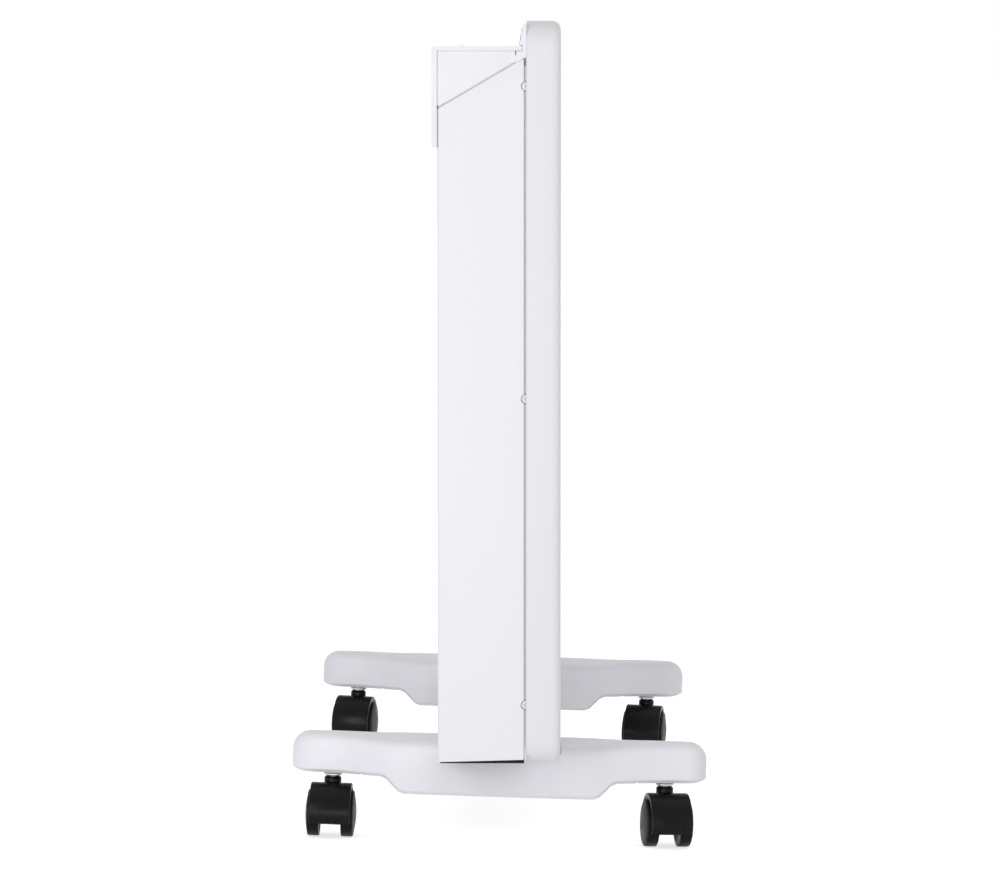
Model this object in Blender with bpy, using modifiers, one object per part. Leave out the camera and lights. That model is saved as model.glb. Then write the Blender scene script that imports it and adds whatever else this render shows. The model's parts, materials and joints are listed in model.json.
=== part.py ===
"""Convector heater: a steel panel and rear casing on two feet with twin-wheel casters.

Metres, +Z up. The front faces -Y and the width runs along X. The origin is on the floor, under the
middle of the heater. The control box is at the -X end. The body is modelled upright and then leans
back a little on the level feet.
"""
import math

import bmesh
import bpy
from mathutils import Matrix, Vector

# Shared clearances
CLEARANCE = 0.0003
OVERRUN = 0.002
FUSE = 0.0002
WELD = 0.000001

# Casters
WHEEL_RADIUS = 0.01325
WHEEL_WIDTH = 0.0082
WHEEL_INNER_GAP = 0.0126
WHEEL_TREAD_EDGE = 0.0006
WHEEL_RIM_WALL = 0.0024
WHEEL_INNER_DISH = 0.0016
WHEEL_DOME = 0.0014
WHEEL_DOME_SHARES = (0.45, 0.75)
WHEEL_HUB_RADIUS = 0.0040
AXLE_RADIUS = 0.0015
CASTER_TRAIL = 0.0085
FENDER_GAP = 0.0015
FENDER_WALL = 0.0022
FENDER_WIDTH = 0.0223
FENDER_EDGE = 0.0008
FENDER_BACK_ANGLE = math.radians(-52)
FENDER_FRONT_ANGLE = math.radians(114)
WEB_END_ANGLE = math.radians(3)
WEB_WIDTH = 0.0116
WEB_HUB_RADIUS = 0.0068
WEB_HUB_START_ANGLE = math.radians(150)
NECK_RADIUS = 0.0049
NECK_HEIGHT = 0.0033
NECK_CHAMFER = 0.0010
NECK_ROOT = 0.0145
STEM_CONE_RADIUS = 0.0039
STEM_CONE_HEIGHT = 0.0005
STEM_FLANGE_RADIUS = 0.0053
STEM_FLANGE_HEIGHT = 0.0010
STEM_SHOULDER_RADIUS = 0.0043
STEM_SHOULDER_HEIGHT = 0.0010
STEM_EDGE = 0.0003
STEM_PIN_RADIUS = 0.0030
STEM_PIN_LENGTH = 0.0150
STEM_THREAD_RADIUS = 0.0039
STEM_THREAD_LENGTH = 0.0135

# Feet
FOOT_LENGTH = 0.2366
FOOT_INSET = 0.080
FOOT_CENTRE_WIDTH = 0.060
FOOT_NOSE_RADIUS = 0.0125
FOOT_HEIGHT = 0.0204
FOOT_CENTRE_DROP = 0.0090
FOOT_CENTRE_HALF = 0.054
FOOT_SWEEP = 0.013
FOOT_TAPER_START = 0.046
FOOT_TOP_EDGE = 0.0050
FOOT_BOTTOM_EDGE = 0.002
FOOT_END_EDGE = 0.0095
FOOT_TIP_RISE = 0.0022
FOOT_TOP_RISE = 0.0016
FOOT_TOP_RISE_START = 0.060
FOOT_TOP_RISE_END = 0.100
SADDLE_DEPTH = 0.0047
LEAN = math.radians(1.8)
SADDLE_CLEARANCE = 0.0005
CASTER_END_DISTANCE = 0.0234
POCKET_WALL = 0.004
POCKET_DEPTH = 0.010
POCKET_LENGTH = 0.015
POCKET_DISTANCE = 0.073
FOOT_SCREW_RADIUS = 0.0020
FOOT_SCREW_HEAD_RADIUS = 0.0042
FOOT_SCREW_HEAD_HEIGHT = 0.0028
FOOT_SCREW_SEAT = 0.0105
FOOT_SCREW_END = 0.0030

# Front panel
BODY_WIDTH = 0.640
PANEL_HEIGHT = 0.413
PANEL_FRONT_Y = -0.0342
PANEL_DEPTH = 0.0191
PANEL_SHEET = 0.0012
PANEL_CORNER_RADIUS = 0.014
PANEL_EDGE_RADIUS = 0.0048

# Rear casing
CASING_END_INSET = 0.0006
CASING_DEPTH = 0.0479
CASING_SHEET = 0.0010
CASING_EDGE_RADIUS = 0.0016
CASING_SEAM = 0.0015
CASING_TOP_DROP = 0.0204
CASING_SLOPE_DROP = 0.0279
CASING_REAR_LIFT = 0.0008
CASING_FRONT_LIFT = 0.0021
TONGUE_SINK = 0.0025
TONGUE_REACH = 0.0104
TONGUE_ROOT = 0.0046
TONGUE_JOINT = 0.0026
TONGUE_TOP_MARGIN = 0.009
TONGUE_BOTTOM_LIFT = 0.022
SILL_WIDTH = 0.011
HANGER_INSET = 0.120
HANGER_DROP = 0.060
HANGER_WIDTH = 0.009
HANGER_HEIGHT = 0.016
HANGER_CORNER = 0.0015

# Side screws
SIDE_SCREW_HEAD_RADIUS = 0.00245
SIDE_SCREW_HEAD_HEIGHT = 0.0012
SIDE_SCREW_RADIUS = 0.0014
SIDE_SCREW_LENGTH = 0.0060
SIDE_SCREW_INSET = 0.0005
SIDE_SCREW_TOP_DROP = 0.0363
SIDE_SCREW_BOTTOM_LIFT = 0.0327
SIDE_SCREW_MIDDLE_LIFT = 0.2033

# Side frames and heat shield
FRAME_SHEET = 0.0010
FRAME_FLANGE = 0.010
FRAME_BOTTOM_LIFT = 0.014
FRAME_TOP_MARGIN = 0.0085
SHIELD_SHEET = 0.0008
SHIELD_STANDOFF = 0.006
SHIELD_BOTTOM_LIFT = 0.022
SHIELD_TOP_MARGIN = 0.022

# Heating element
ELEMENT_END_GAP = 0.058
ELEMENT_HEIGHT_ABOVE_PANEL = 0.072
ELEMENT_CENTRE_Y = -0.004
ELEMENT_HUB_RADIUS = 0.0078
ELEMENT_HALF_DEPTH = 0.0165
ELEMENT_HALF_HEIGHT = 0.034
ELEMENT_FINS = 14
ELEMENT_FIN_THICKNESS = 0.0014
ELEMENT_TUBE_RADIUS = 0.0050
ELEMENT_TUBE_END_GAP = 0.040
ELEMENT_PIN_RADIUS = 0.0018
ELEMENT_PIN_LENGTH = 0.010
BRACKET_SHEET = 0.0012
BRACKET_FOOT = 0.014
BRACKET_HALF_HEIGHT = 0.016
BRACKET_END_GAP = 0.0485
BRACKET_NOSE = 0.0105

# Fittings inside the casing
CUTOUT_RADIUS = 0.0078
CUTOUT_HEIGHT = 0.0062
CUTOUT_FLANGE = 0.0014
CUTOUT_EAR_HALF = 0.0120
CUTOUT_EAR_HEIGHT = 0.0034
CUTOUT_X = 0.110
CUTOUT_LIFT = 0.1528
TIP_SWITCH_LENGTH = 0.016
TIP_SWITCH_DEPTH = 0.018
TIP_SWITCH_HEIGHT = 0.024
TIP_SWITCH_LIFT = 0.2098
TIP_SWITCH_TAB = 0.006
TIP_SWITCH_TAB_SHEET = 0.0012
TERMINAL_LENGTH = 0.036
TERMINAL_DEPTH = 0.012
TERMINAL_HEIGHT = 0.016
TERMINAL_INSET = 0.045
TERMINAL_LIFT = 0.2828
TERMINAL_WAYS = 3
TERMINAL_HOLE_RADIUS = 0.0022
TERMINAL_HOLE_DEPTH = 0.005
WIRE_RADIUS = 0.0014
WIRE_STEPS = 3
GLAND_INSET = 0.170
GLAND_LIFT = 0.0130
GLAND_BORE = 0.0040
GLAND_NECK_RADIUS = 0.0064
GLAND_FLANGE_RADIUS = 0.0088
GLAND_FLANGE = 0.0018
GLAND_CLIP = 0.0012
GLAND_CLIP_RADIUS = 0.0074

# Outlet grille
SLAT_COUNT = 7
SLAT_PITCH = 0.00336
SLAT_THICKNESS = 0.0017
SLAT_TOP_DROP = 0.0036
SLAT_SHOULDER = 0.0030
SLAT_TILT = math.radians(6)
COMB_TOP_Y = -0.0137
COMB_LEAN = math.radians(12)
COMB_NOTCH = 0.0009
GRILLE_END_GAP = 0.0023
GRILLE_END_WALL = 0.0016
GRILLE_RIB = 0.0016
GRILLE_RIBS = 5
GRILLE_RIB_INSET = 0.0042
GRILLE_HEAD = 0.0014
WINDOW_END_MARGIN = 0.030
WINDOW_MARGIN = 0.0014
WINDOW_CORNER = 0.0012

# Inlet grille
INLET_THICKNESS = 0.0030
INLET_RAIL = 0.0090
INLET_END_RAIL = 0.0060
INLET_BAR = 0.0020
INLET_BARS = 23
INLET_SPINE = 0.0024

# Control box
BOX_LENGTH = 0.2115
COVER_TOP_DROP = 0.0142
COVER_PLATE = 0.0025
COVER_FRONT_INSET = 0.0010
COVER_LIP = 0.0029
COVER_LIP_GAP = 0.0003
COVER_LIP_LENGTH = 0.056
COVER_CORNER = 0.0012
HOUSING_WALL = 0.0020
HOUSING_SIDE_INSET = 0.0009
HOUSING_FRONT_Y = -0.0090
DUCT_MARGIN = 0.008
DUCT_GAP = 0.0010
DUCT_REAR_Y = 0.0290
CONTROLS_Y = 0.0125
PAN_DEPTH = 0.0040
PAN_WALL = 0.0015
PAN_HALF_DEPTH = 0.0165
SWITCH_PITCH = 0.030
SWITCH_INSET = 0.042
SWITCH_FLANGE_HALF_X = 0.0118
SWITCH_FLANGE_HALF_Y = 0.0145
SWITCH_FLANGE = 0.0012
SWITCH_BODY_HALF_X = 0.0098
SWITCH_BODY_HALF_Y = 0.0123
SWITCH_BODY_DEPTH = 0.0190
SWITCH_POCKET_DEPTH = 0.0075
SWITCH_EDGE = 0.0006
ROCKER_HALF_X = 0.0080
ROCKER_HALF_Y = 0.0100
ROCKER_END_HEIGHT = 0.0030
ROCKER_WAIST_HEIGHT = 0.0016
ROCKER_SKIRT = 0.0010
ROCKER_KEEL = 0.0040
ROCKER_KEEL_HALF = 0.0030
ROCKER_SIDE_GAP = 0.0004
ROCKER_END_GAP = 0.0009
ROCKER_PIVOT_DROP = 0.0008
ROCKER_PIVOT_RADIUS = 0.0010
ROCKER_PIVOT_LENGTH = 0.0007
ROCKER_TILT = math.radians(8)
LENS_INSET = 0.112
LENS_RADIUS = 0.0026
LENS_FLANGE_RADIUS = 0.0038
LENS_FLANGE = 0.0010
LENS_CROWN = 0.0006
KNOB_INSET = 0.160
KNOB_RADIUS = 0.0150
KNOB_HEIGHT = 0.0112
KNOB_FLUTES = 18
KNOB_FLUTE_DEPTH = 0.0005
KNOB_GRIP_WIDTH = 0.0050
KNOB_GRIP_CUT = 0.0045
KNOB_GRIP_REACH = 0.0125
KNOB_MARK_WIDTH = 0.0010
KNOB_MARK_LENGTH = 0.0050
KNOB_MARK_DEPTH = 0.0005
KNOB_SOCKET_DEPTH = 0.0050
WELL_WALL = 0.0015
WELL_GAP = 0.0012
WELL_FLOOR_GAP = 0.0006
SHAFT_RADIUS = 0.0030
THERMOSTAT_HALF = 0.0115
THERMOSTAT_DEPTH = 0.0130
THERMOSTAT_EDGE = 0.0008
THERMOSTAT_TAB = 0.0040
THERMOSTAT_TAB_SHEET = 0.0009

# Facets
ROUND_STEPS = 16
SMALL_STEPS = 8
WHEEL_STEPS = 20
WELL_STEPS = 32
NOTCH_STEPS = 12
CORNER_STEPS = 6
FOOT_STEPS = 4
EDGE_STEPS = 3
SHARP_ANGLE = math.radians(32)
FLAT_ANGLE = math.radians(0.05)
EDGE_LIMIT_SHARE = 0.45
ROUND_PROFILE = 0.5
NOSE_END_ANGLE = math.radians(84)
STEEP_ANGLE = math.radians(80)

# Heights, from the floor up
AXLE_Z = WHEEL_RADIUS
FENDER_INNER_RADIUS = WHEEL_RADIUS + FENDER_GAP
FENDER_OUTER_RADIUS = FENDER_INNER_RADIUS + FENDER_WALL
HOOD_TOP_Z = AXLE_Z + FENDER_OUTER_RADIUS
NECK_TOP_Z = HOOD_TOP_Z + NECK_HEIGHT
COLLAR_BOTTOM_Z = NECK_TOP_Z + CLEARANCE
FLANGE_BOTTOM_Z = COLLAR_BOTTOM_Z + STEM_CONE_HEIGHT
FLANGE_TOP_Z = FLANGE_BOTTOM_Z + STEM_FLANGE_HEIGHT
COLLAR_TOP_Z = FLANGE_TOP_Z + STEM_SHOULDER_HEIGHT
ARM_BOTTOM_Z = COLLAR_TOP_Z + CLEARANCE
FOOT_TOP_Z = ARM_BOTTOM_Z + FOOT_HEIGHT
FOOT_BOTTOM_Z = ARM_BOTTOM_Z - FOOT_CENTRE_DROP
SADDLE_Z = FOOT_TOP_Z - SADDLE_DEPTH
PANEL_BOTTOM_Z = SADDLE_Z + CLEARANCE
PANEL_TOP_Z = PANEL_BOTTOM_Z + PANEL_HEIGHT
CASING_FRONT_TOP_Z = PANEL_TOP_Z - CASING_TOP_DROP
COVER_TOP_Z = PANEL_TOP_Z - COVER_TOP_DROP
COVER_UNDER_Z = COVER_TOP_Z - COVER_PLATE
PAN_FLOOR_Z = COVER_TOP_Z - PAN_DEPTH
ELEMENT_Z = PANEL_BOTTOM_Z + ELEMENT_HEIGHT_ABOVE_PANEL
INLET_TOP_Z = PANEL_BOTTOM_Z + INLET_THICKNESS
SILL_Z = PANEL_BOTTOM_Z + INLET_THICKNESS + CLEARANCE
CUTOUT_Z = PANEL_BOTTOM_Z + CUTOUT_LIFT
TIP_SWITCH_Z = PANEL_BOTTOM_Z + TIP_SWITCH_LIFT
TERMINAL_Z = PANEL_BOTTOM_Z + TERMINAL_LIFT
GLAND_Z = PANEL_BOTTOM_Z + GLAND_LIFT

# Depths, from the front back
PANEL_REAR_Y = PANEL_FRONT_Y + PANEL_DEPTH
PANEL_INNER_Y = PANEL_FRONT_Y + PANEL_SHEET
CASING_FRONT_Y = PANEL_REAR_Y + CASING_SEAM
CASING_REAR_Y = CASING_FRONT_Y + CASING_DEPTH
CASING_INNER_Y = CASING_REAR_Y - CASING_SHEET
SHIELD_FRONT_Y = CASING_INNER_Y - SHIELD_STANDOFF - SHIELD_SHEET
SIDE_SCREW_Y = PANEL_REAR_Y + SIDE_SCREW_INSET

# Half widths, from the middle out
PANEL_HALF = BODY_WIDTH / 2
WINDOW_HALF = PANEL_HALF - WINDOW_END_MARGIN
CASING_HALF = PANEL_HALF - CASING_END_INSET
CASING_INNER_HALF = CASING_HALF - CASING_SHEET
TONGUE_OUTER_HALF = CASING_HALF - TONGUE_SINK
TONGUE_INNER_HALF = TONGUE_OUTER_HALF - CASING_SHEET
FRAME_OUTER_HALF = TONGUE_INNER_HALF - CLEARANCE
FRAME_INNER_HALF = FRAME_OUTER_HALF - FRAME_SHEET
ELEMENT_HALF_LENGTH = PANEL_HALF - ELEMENT_END_GAP
ELEMENT_TUBE_HALF = PANEL_HALF - ELEMENT_TUBE_END_GAP
BRACKET_X = PANEL_HALF - BRACKET_END_GAP
HANGER_X = PANEL_HALF - HANGER_INSET
FOOT_X = PANEL_HALF - FOOT_INSET
CASTER_Y = FOOT_LENGTH / 2 - CASTER_END_DISTANCE
BOX_END_X = BOX_LENGTH - PANEL_HALF
TERMINAL_X = TERMINAL_INSET - PANEL_HALF
GLAND_X = GLAND_INSET - PANEL_HALF
SWITCH_FIRST_X = SWITCH_INSET - PANEL_HALF
LENS_X = LENS_INSET - PANEL_HALF
KNOB_X = KNOB_INSET - PANEL_HALF

# Local axes of a flat outline: across, up and through
PLAN = Matrix.Identity(4)
SIDE = Matrix(((0, 0, 1, 0), (1, 0, 0, 0), (0, 1, 0, 0), (0, 0, 0, 1)))
FRONT = Matrix(((1, 0, 0, 0), (0, 0, -1, 0), (0, 1, 0, 0), (0, 0, 0, 1)))

PARTS = "convector_heater"
CUTTERS = "cutters"


def clear_scene():
    """Removes every object, mesh and curve that the file holds."""
    for item in list(bpy.data.objects):
        bpy.data.objects.remove(item)
    for group in list(bpy.data.collections):
        bpy.data.collections.remove(group)
    for store in (bpy.data.meshes, bpy.data.curves, bpy.data.materials):
        for item in list(store):
            store.remove(item)
    for name in (PARTS, CUTTERS):
        bpy.context.scene.collection.children.link(bpy.data.collections.new(name))


def finish(name, colour, roughness, metallic=0.0):
    """Makes one Principled material."""
    material = bpy.data.materials.new(name)
    material.use_nodes = True
    shader = material.node_tree.nodes["Principled BSDF"]
    shader.inputs["Base Color"].default_value = (*colour, 1)
    shader.inputs["Roughness"].default_value = roughness
    shader.inputs["Metallic"].default_value = metallic
    material.diffuse_color = (*colour, 1)
    return material


def link(name, mesh, group, parent=None):
    """Puts a mesh into a collection as an object."""
    item = bpy.data.objects.new(name, mesh)
    bpy.data.collections[group].objects.link(item)
    item.parent = parent
    return item


def node(name, mesh, material, parent=None, smooth=True):
    """Adds a part with its own copy of a material."""
    item = link(name, mesh, PARTS, parent)
    own = material.copy()
    own.name = name
    mesh.materials.append(own)
    if smooth:
        mesh.shade_smooth()
        mesh.set_sharp_from_angle(angle=SHARP_ANGLE)
    return item


def tool(mesh, parent=None):
    """Adds a hidden solid that cuts or joins a part."""
    item = link("tool", mesh, CUTTERS, parent)
    item.hide_render = True
    item.display_type = "WIRE"
    return item


def boolean(target, mesh, operation):
    """Cuts or joins a target with a mesh given in the target's own space."""
    modifier = target.modifiers.new(operation.lower(), "BOOLEAN")
    modifier.operation = operation
    modifier.solver = "EXACT"
    modifier.object = tool(mesh, target.parent)
    modifier.object.location = target.location
    modifier.object.rotation_euler = target.rotation_euler
    return target


def cut(target, *meshes):
    """Takes meshes away from a target."""
    for mesh in meshes:
        boolean(target, mesh, "DIFFERENCE")
    return target


def join(target, *meshes):
    """Fuses meshes to a target."""
    for mesh in meshes:
        boolean(target, mesh, "UNION")
    return target


def mesh_from(shape, name="shape"):
    """Turns a bmesh into a mesh whose faces point out."""
    bmesh.ops.recalc_face_normals(shape, faces=shape.faces)
    mesh = bpy.data.meshes.new(name)
    shape.to_mesh(mesh)
    shape.free()
    return mesh


def evaluated_mesh(item):
    """Reads an object's final mesh and removes the object."""
    bpy.context.scene.collection.objects.link(item)
    bpy.context.view_layer.update()
    seen = item.evaluated_get(bpy.context.evaluated_depsgraph_get())
    mesh = bpy.data.meshes.new_from_object(seen)
    bpy.data.objects.remove(item)
    return mesh


def box(x, y, z):
    """Makes a box between pairs of low and high coordinates."""
    shape = bmesh.new()
    bmesh.ops.create_cube(shape, size=1)
    sizes = Vector((x[1] - x[0], y[1] - y[0], z[1] - z[0]))
    middle = Vector((x[0] + x[1], y[0] + y[1], z[0] + z[1])) / 2
    bmesh.ops.transform(shape, matrix=Matrix.LocRotScale(middle, None, sizes), verts=shape.verts)
    return mesh_from(shape, "box")


def group(meshes):
    """Puts meshes that don't touch into one mesh, so that one cut takes them all away."""
    shape = bmesh.new()
    for mesh in meshes:
        shape.from_mesh(mesh)
    return mesh_from(shape, "group")


def edged_box(x, y, z, radius, steps=1):
    """Makes a box with every edge bevelled."""
    shape = bmesh.new()
    shape.from_mesh(box(x, y, z))
    bmesh.ops.bevel(shape, geom=shape.edges, offset=radius, segments=steps, profile=ROUND_PROFILE,
                    affect="EDGES")
    return mesh_from(shape, "edged_box")


def rod(start, end, radius, steps=SMALL_STEPS):
    """Makes a cylinder from one point to another."""
    start, end = Vector(start), Vector(end)
    reach = end - start
    turn = reach.to_track_quat("Z", "Y").to_matrix().to_4x4()
    place = Matrix.Translation((start + end) / 2) @ turn
    shape = bmesh.new()
    bmesh.ops.create_cone(shape, cap_ends=True, segments=steps, radius1=radius, radius2=radius,
                          depth=reach.length, matrix=place)
    return mesh_from(shape, "rod")


def arc(centre, radius, start, end, steps):
    """Gives the points of an arc from one angle to another."""
    points = []
    for step in range(steps + 1):
        angle = start + (end - start) * step / steps
        points.append((centre[0] + radius * math.cos(angle), centre[1] + radius * math.sin(angle)))
    return points


def rounded_rectangle(across, up, radius, steps=CORNER_STEPS):
    """Gives the outline of a rectangle with four round corners."""
    quarter = math.pi / 2
    corners = ((across[1], up[1], -1, -1), (across[0], up[1], 1, -1),
               (across[0], up[0], 1, 1), (across[1], up[0], -1, 1))
    points = []
    for turn, (first, second, inward, upward) in enumerate(corners):
        centre = (first + inward * radius, second + upward * radius)
        points += arc(centre, radius, turn * quarter, (turn + 1) * quarter, steps)
    return points


def plate(outlines, low, high, axes=PLAN):
    """Extrudes flat outlines between two heights. The first is the edge and the rest are holes."""
    curve = bpy.data.curves.new("outline", "CURVE")
    curve.dimensions = "2D"
    curve.fill_mode = "BOTH"
    curve.extrude = (high - low) / 2
    for outline in outlines:
        spline = curve.splines.new("POLY")
        spline.points.add(len(outline) - 1)
        for point, (first, second) in zip(spline.points, outline):
            point.co = (first, second, 0, 1)
        spline.use_cyclic_u = True
    flat = evaluated_mesh(bpy.data.objects.new("outline", curve))
    shape = bmesh.new()
    shape.from_mesh(flat)
    bmesh.ops.remove_doubles(shape, verts=shape.verts, dist=WELD)
    bmesh.ops.dissolve_limit(shape, angle_limit=FLAT_ANGLE, verts=shape.verts, edges=shape.edges)
    lift = Matrix.Translation((0, 0, (low + high) / 2))
    bmesh.ops.transform(shape, matrix=axes @ lift, verts=shape.verts)
    return mesh_from(shape, "plate")


def turned(profile, axes=PLAN, steps=ROUND_STEPS, closed=False):
    """Turns a profile of radius and height about the upright axis, then lays it along other axes."""
    flat = bpy.data.meshes.new("profile")
    edges = [(index, index + 1) for index in range(len(profile) - 1)]
    if closed:
        edges.append((len(profile) - 1, 0))
    flat.from_pydata([(radius, 0, height) for radius, height in profile], edges, [])
    item = bpy.data.objects.new("profile", flat)
    screw = item.modifiers.new("turn", "SCREW")
    screw.steps = steps
    screw.render_steps = steps
    screw.use_merge_vertices = True
    screw.merge_threshold = WELD
    shape = bmesh.new()
    shape.from_mesh(evaluated_mesh(item))
    bmesh.ops.remove_doubles(shape, verts=shape.verts, dist=WELD)
    bmesh.ops.transform(shape, matrix=axes, verts=shape.verts)
    return mesh_from(shape, "turned")


def loft(rings):
    """Skins a row of rings that have the same number of points."""
    shape = bmesh.new()
    rows = [[shape.verts.new(point) for point in ring] for ring in rings]
    for row, following in zip(rows, rows[1:]):
        for index, corner in enumerate(row):
            beside = (index + 1) % len(row)
            shape.faces.new((corner, row[beside], following[beside], following[index]))
    shape.faces.new(rows[0])
    shape.faces.new(reversed(rows[-1]))
    return mesh_from(shape, "loft")


def smooth_route(points, steps):
    """Runs a smooth curve through the points of a route."""
    points = [Vector(point) for point in points]
    padded = [points[0] * 2 - points[1], *points, points[-1] * 2 - points[-2]]
    route = []
    for first, second, third, fourth in zip(padded, padded[1:], padded[2:], padded[3:]):
        for step in range(steps):
            part = step / steps
            route.append((second * 2 + (third - first) * part
                          + (first * 2 - second * 5 + third * 4 - fourth) * part ** 2
                          + (second * 3 - first - third * 3 + fourth) * part ** 3) / 2)
    route.append(points[-1])
    return route


def wire(points, radius, steps):
    """Makes a round wire along a smooth route."""
    curve = bpy.data.curves.new("wire", "CURVE")
    curve.dimensions = "3D"
    curve.bevel_depth = radius
    curve.bevel_resolution = 1
    curve.use_fill_caps = True
    route = smooth_route(points, steps)
    spline = curve.splines.new("POLY")
    spline.points.add(len(route) - 1)
    for point, place in zip(spline.points, route):
        point.co = (*place, 1)
    shape = bmesh.new()
    shape.from_mesh(evaluated_mesh(bpy.data.objects.new("wire", curve)))
    bmesh.ops.remove_doubles(shape, verts=shape.verts, dist=WELD)
    return mesh_from(shape, "wire")


def empty(name, place, turn=0.0, parent=None):
    """Marks a joint's axis."""
    item = link(name, None, PARTS, parent)
    item.location = place
    item.rotation_euler = (0, 0, turn)
    return item


def leant(mesh):
    """Leans a mesh back about the saddles, as the body leans."""
    lift = Matrix.Translation((0, 0, SADDLE_Z))
    mesh.transform(lift @ Matrix.Rotation(-LEAN, 4, "X") @ lift.inverted())
    return mesh


def lean_back(standing):
    """Leans everything back about the saddles, apart from what stands on the floor."""
    lean = empty("body_lean", (0, 0, SADDLE_Z))
    lean.rotation_euler = (-LEAN, 0, 0)
    for item in list(bpy.data.objects):
        if item.parent is None and item is not lean and item not in standing:
            item.parent = lean
            item.matrix_parent_inverse = Matrix.Translation((0, 0, -SADDLE_Z))


def slope_z(depth):
    """Gives the height of the casing's sloping top at a depth."""
    fall = CASING_SLOPE_DROP / CASING_DEPTH
    return CASING_FRONT_TOP_Z - (depth - CASING_FRONT_Y) * fall


def both_sides(inner, outer):
    """Gives the X range of a band at the left end and at the right end."""
    return (-outer, -inner), (inner, outer)


def side_screw_heights():
    """Gives the heights of the screws in the seam, top first."""
    return (PANEL_TOP_Z - SIDE_SCREW_TOP_DROP,
            PANEL_BOTTOM_Z + SIDE_SCREW_MIDDLE_LIFT,
            PANEL_BOTTOM_Z + SIDE_SCREW_BOTTOM_LIFT)


def foot_screw_depths():
    """Gives the front and rear places of the screws that hold a foot to the body."""
    front = (PANEL_FRONT_Y + PANEL_REAR_Y) / 2
    rear = CASING_INNER_Y - SILL_WIDTH / 2
    return front, rear


def slat_levels():
    """Gives the middle heights of the outlet slats at the comb, top first."""
    top = PANEL_TOP_Z - SLAT_TOP_DROP
    return [top - SLAT_PITCH * index for index in range(SLAT_COUNT)]


def comb_y(height):
    """Gives the depth of the comb's leaning rear edge at a height."""
    return COMB_TOP_Y + (slat_levels()[0] - height) * math.tan(COMB_LEAN)


def window_range():
    """Gives the low and high edges of the outlet window in the front panel."""
    levels = slat_levels()
    fall = (COMB_TOP_Y - PANEL_FRONT_Y) * math.tan(SLAT_TILT)
    half = SLAT_THICKNESS / 2 + WINDOW_MARGIN
    return levels[-1] - fall - half, levels[1] - fall + half


def make_front_panel(material):
    """Pressed steel tray with round corners, a rolled front edge and the outlet window."""
    outline = rounded_rectangle((-PANEL_HALF, PANEL_HALF), (PANEL_BOTTOM_Z, PANEL_TOP_Z), PANEL_CORNER_RADIUS)
    shape = bmesh.new()
    shape.from_mesh(plate([outline], -PANEL_REAR_Y, -PANEL_FRONT_Y, FRONT))
    back = [face for face in shape.faces if face.normal.y > 1 - WELD]
    bmesh.ops.delete(shape, geom=back, context="FACES_ONLY")
    front = [face for face in shape.faces if face.normal.y < WELD - 1]
    rim = {edge for face in front for edge in face.edges}
    bmesh.ops.bevel(shape, geom=list(rim), offset=PANEL_EDGE_RADIUS, segments=EDGE_STEPS + 1, profile=ROUND_PROFILE,
                    affect="EDGES")
    mesh = bpy.data.meshes.new("front_panel")
    shape.to_mesh(mesh)
    shape.free()
    panel = node("front_panel", mesh, material)
    solid = panel.modifiers.new("sheet", "SOLIDIFY")
    solid.thickness = PANEL_SHEET
    solid.offset = -1
    solid.use_even_offset = True
    window = rounded_rectangle((-WINDOW_HALF, WINDOW_HALF), window_range(), WINDOW_CORNER, EDGE_STEPS)
    cut(panel, plate([window], -PANEL_FRONT_Y - PANEL_SHEET - OVERRUN, -PANEL_FRONT_Y + OVERRUN, FRONT))
    front_y, _ = foot_screw_depths()
    for x in (-FOOT_X, FOOT_X):
        low, high = PANEL_BOTTOM_Z - OVERRUN, PANEL_BOTTOM_Z + PANEL_SHEET + OVERRUN
        cut(panel, rod((x, front_y, low), (x, front_y, high), FOOT_SCREW_RADIUS + CLEARANCE))
    return panel


def casing_outline(grow=0.0):
    """Gives the casing's end view, grown outward over its sloping top and its front edge."""
    front_bottom = PANEL_BOTTOM_Z + CASING_FRONT_LIFT
    rear_bottom = PANEL_BOTTOM_Z + CASING_REAR_LIFT
    lift = grow / math.cos(math.atan2(CASING_SLOPE_DROP, CASING_DEPTH))
    front = CASING_FRONT_Y - grow
    return [(front, front_bottom), (CASING_REAR_Y, rear_bottom),
            (CASING_REAR_Y, slope_z(CASING_REAR_Y) + lift), (front, slope_z(front) + lift)]


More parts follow.
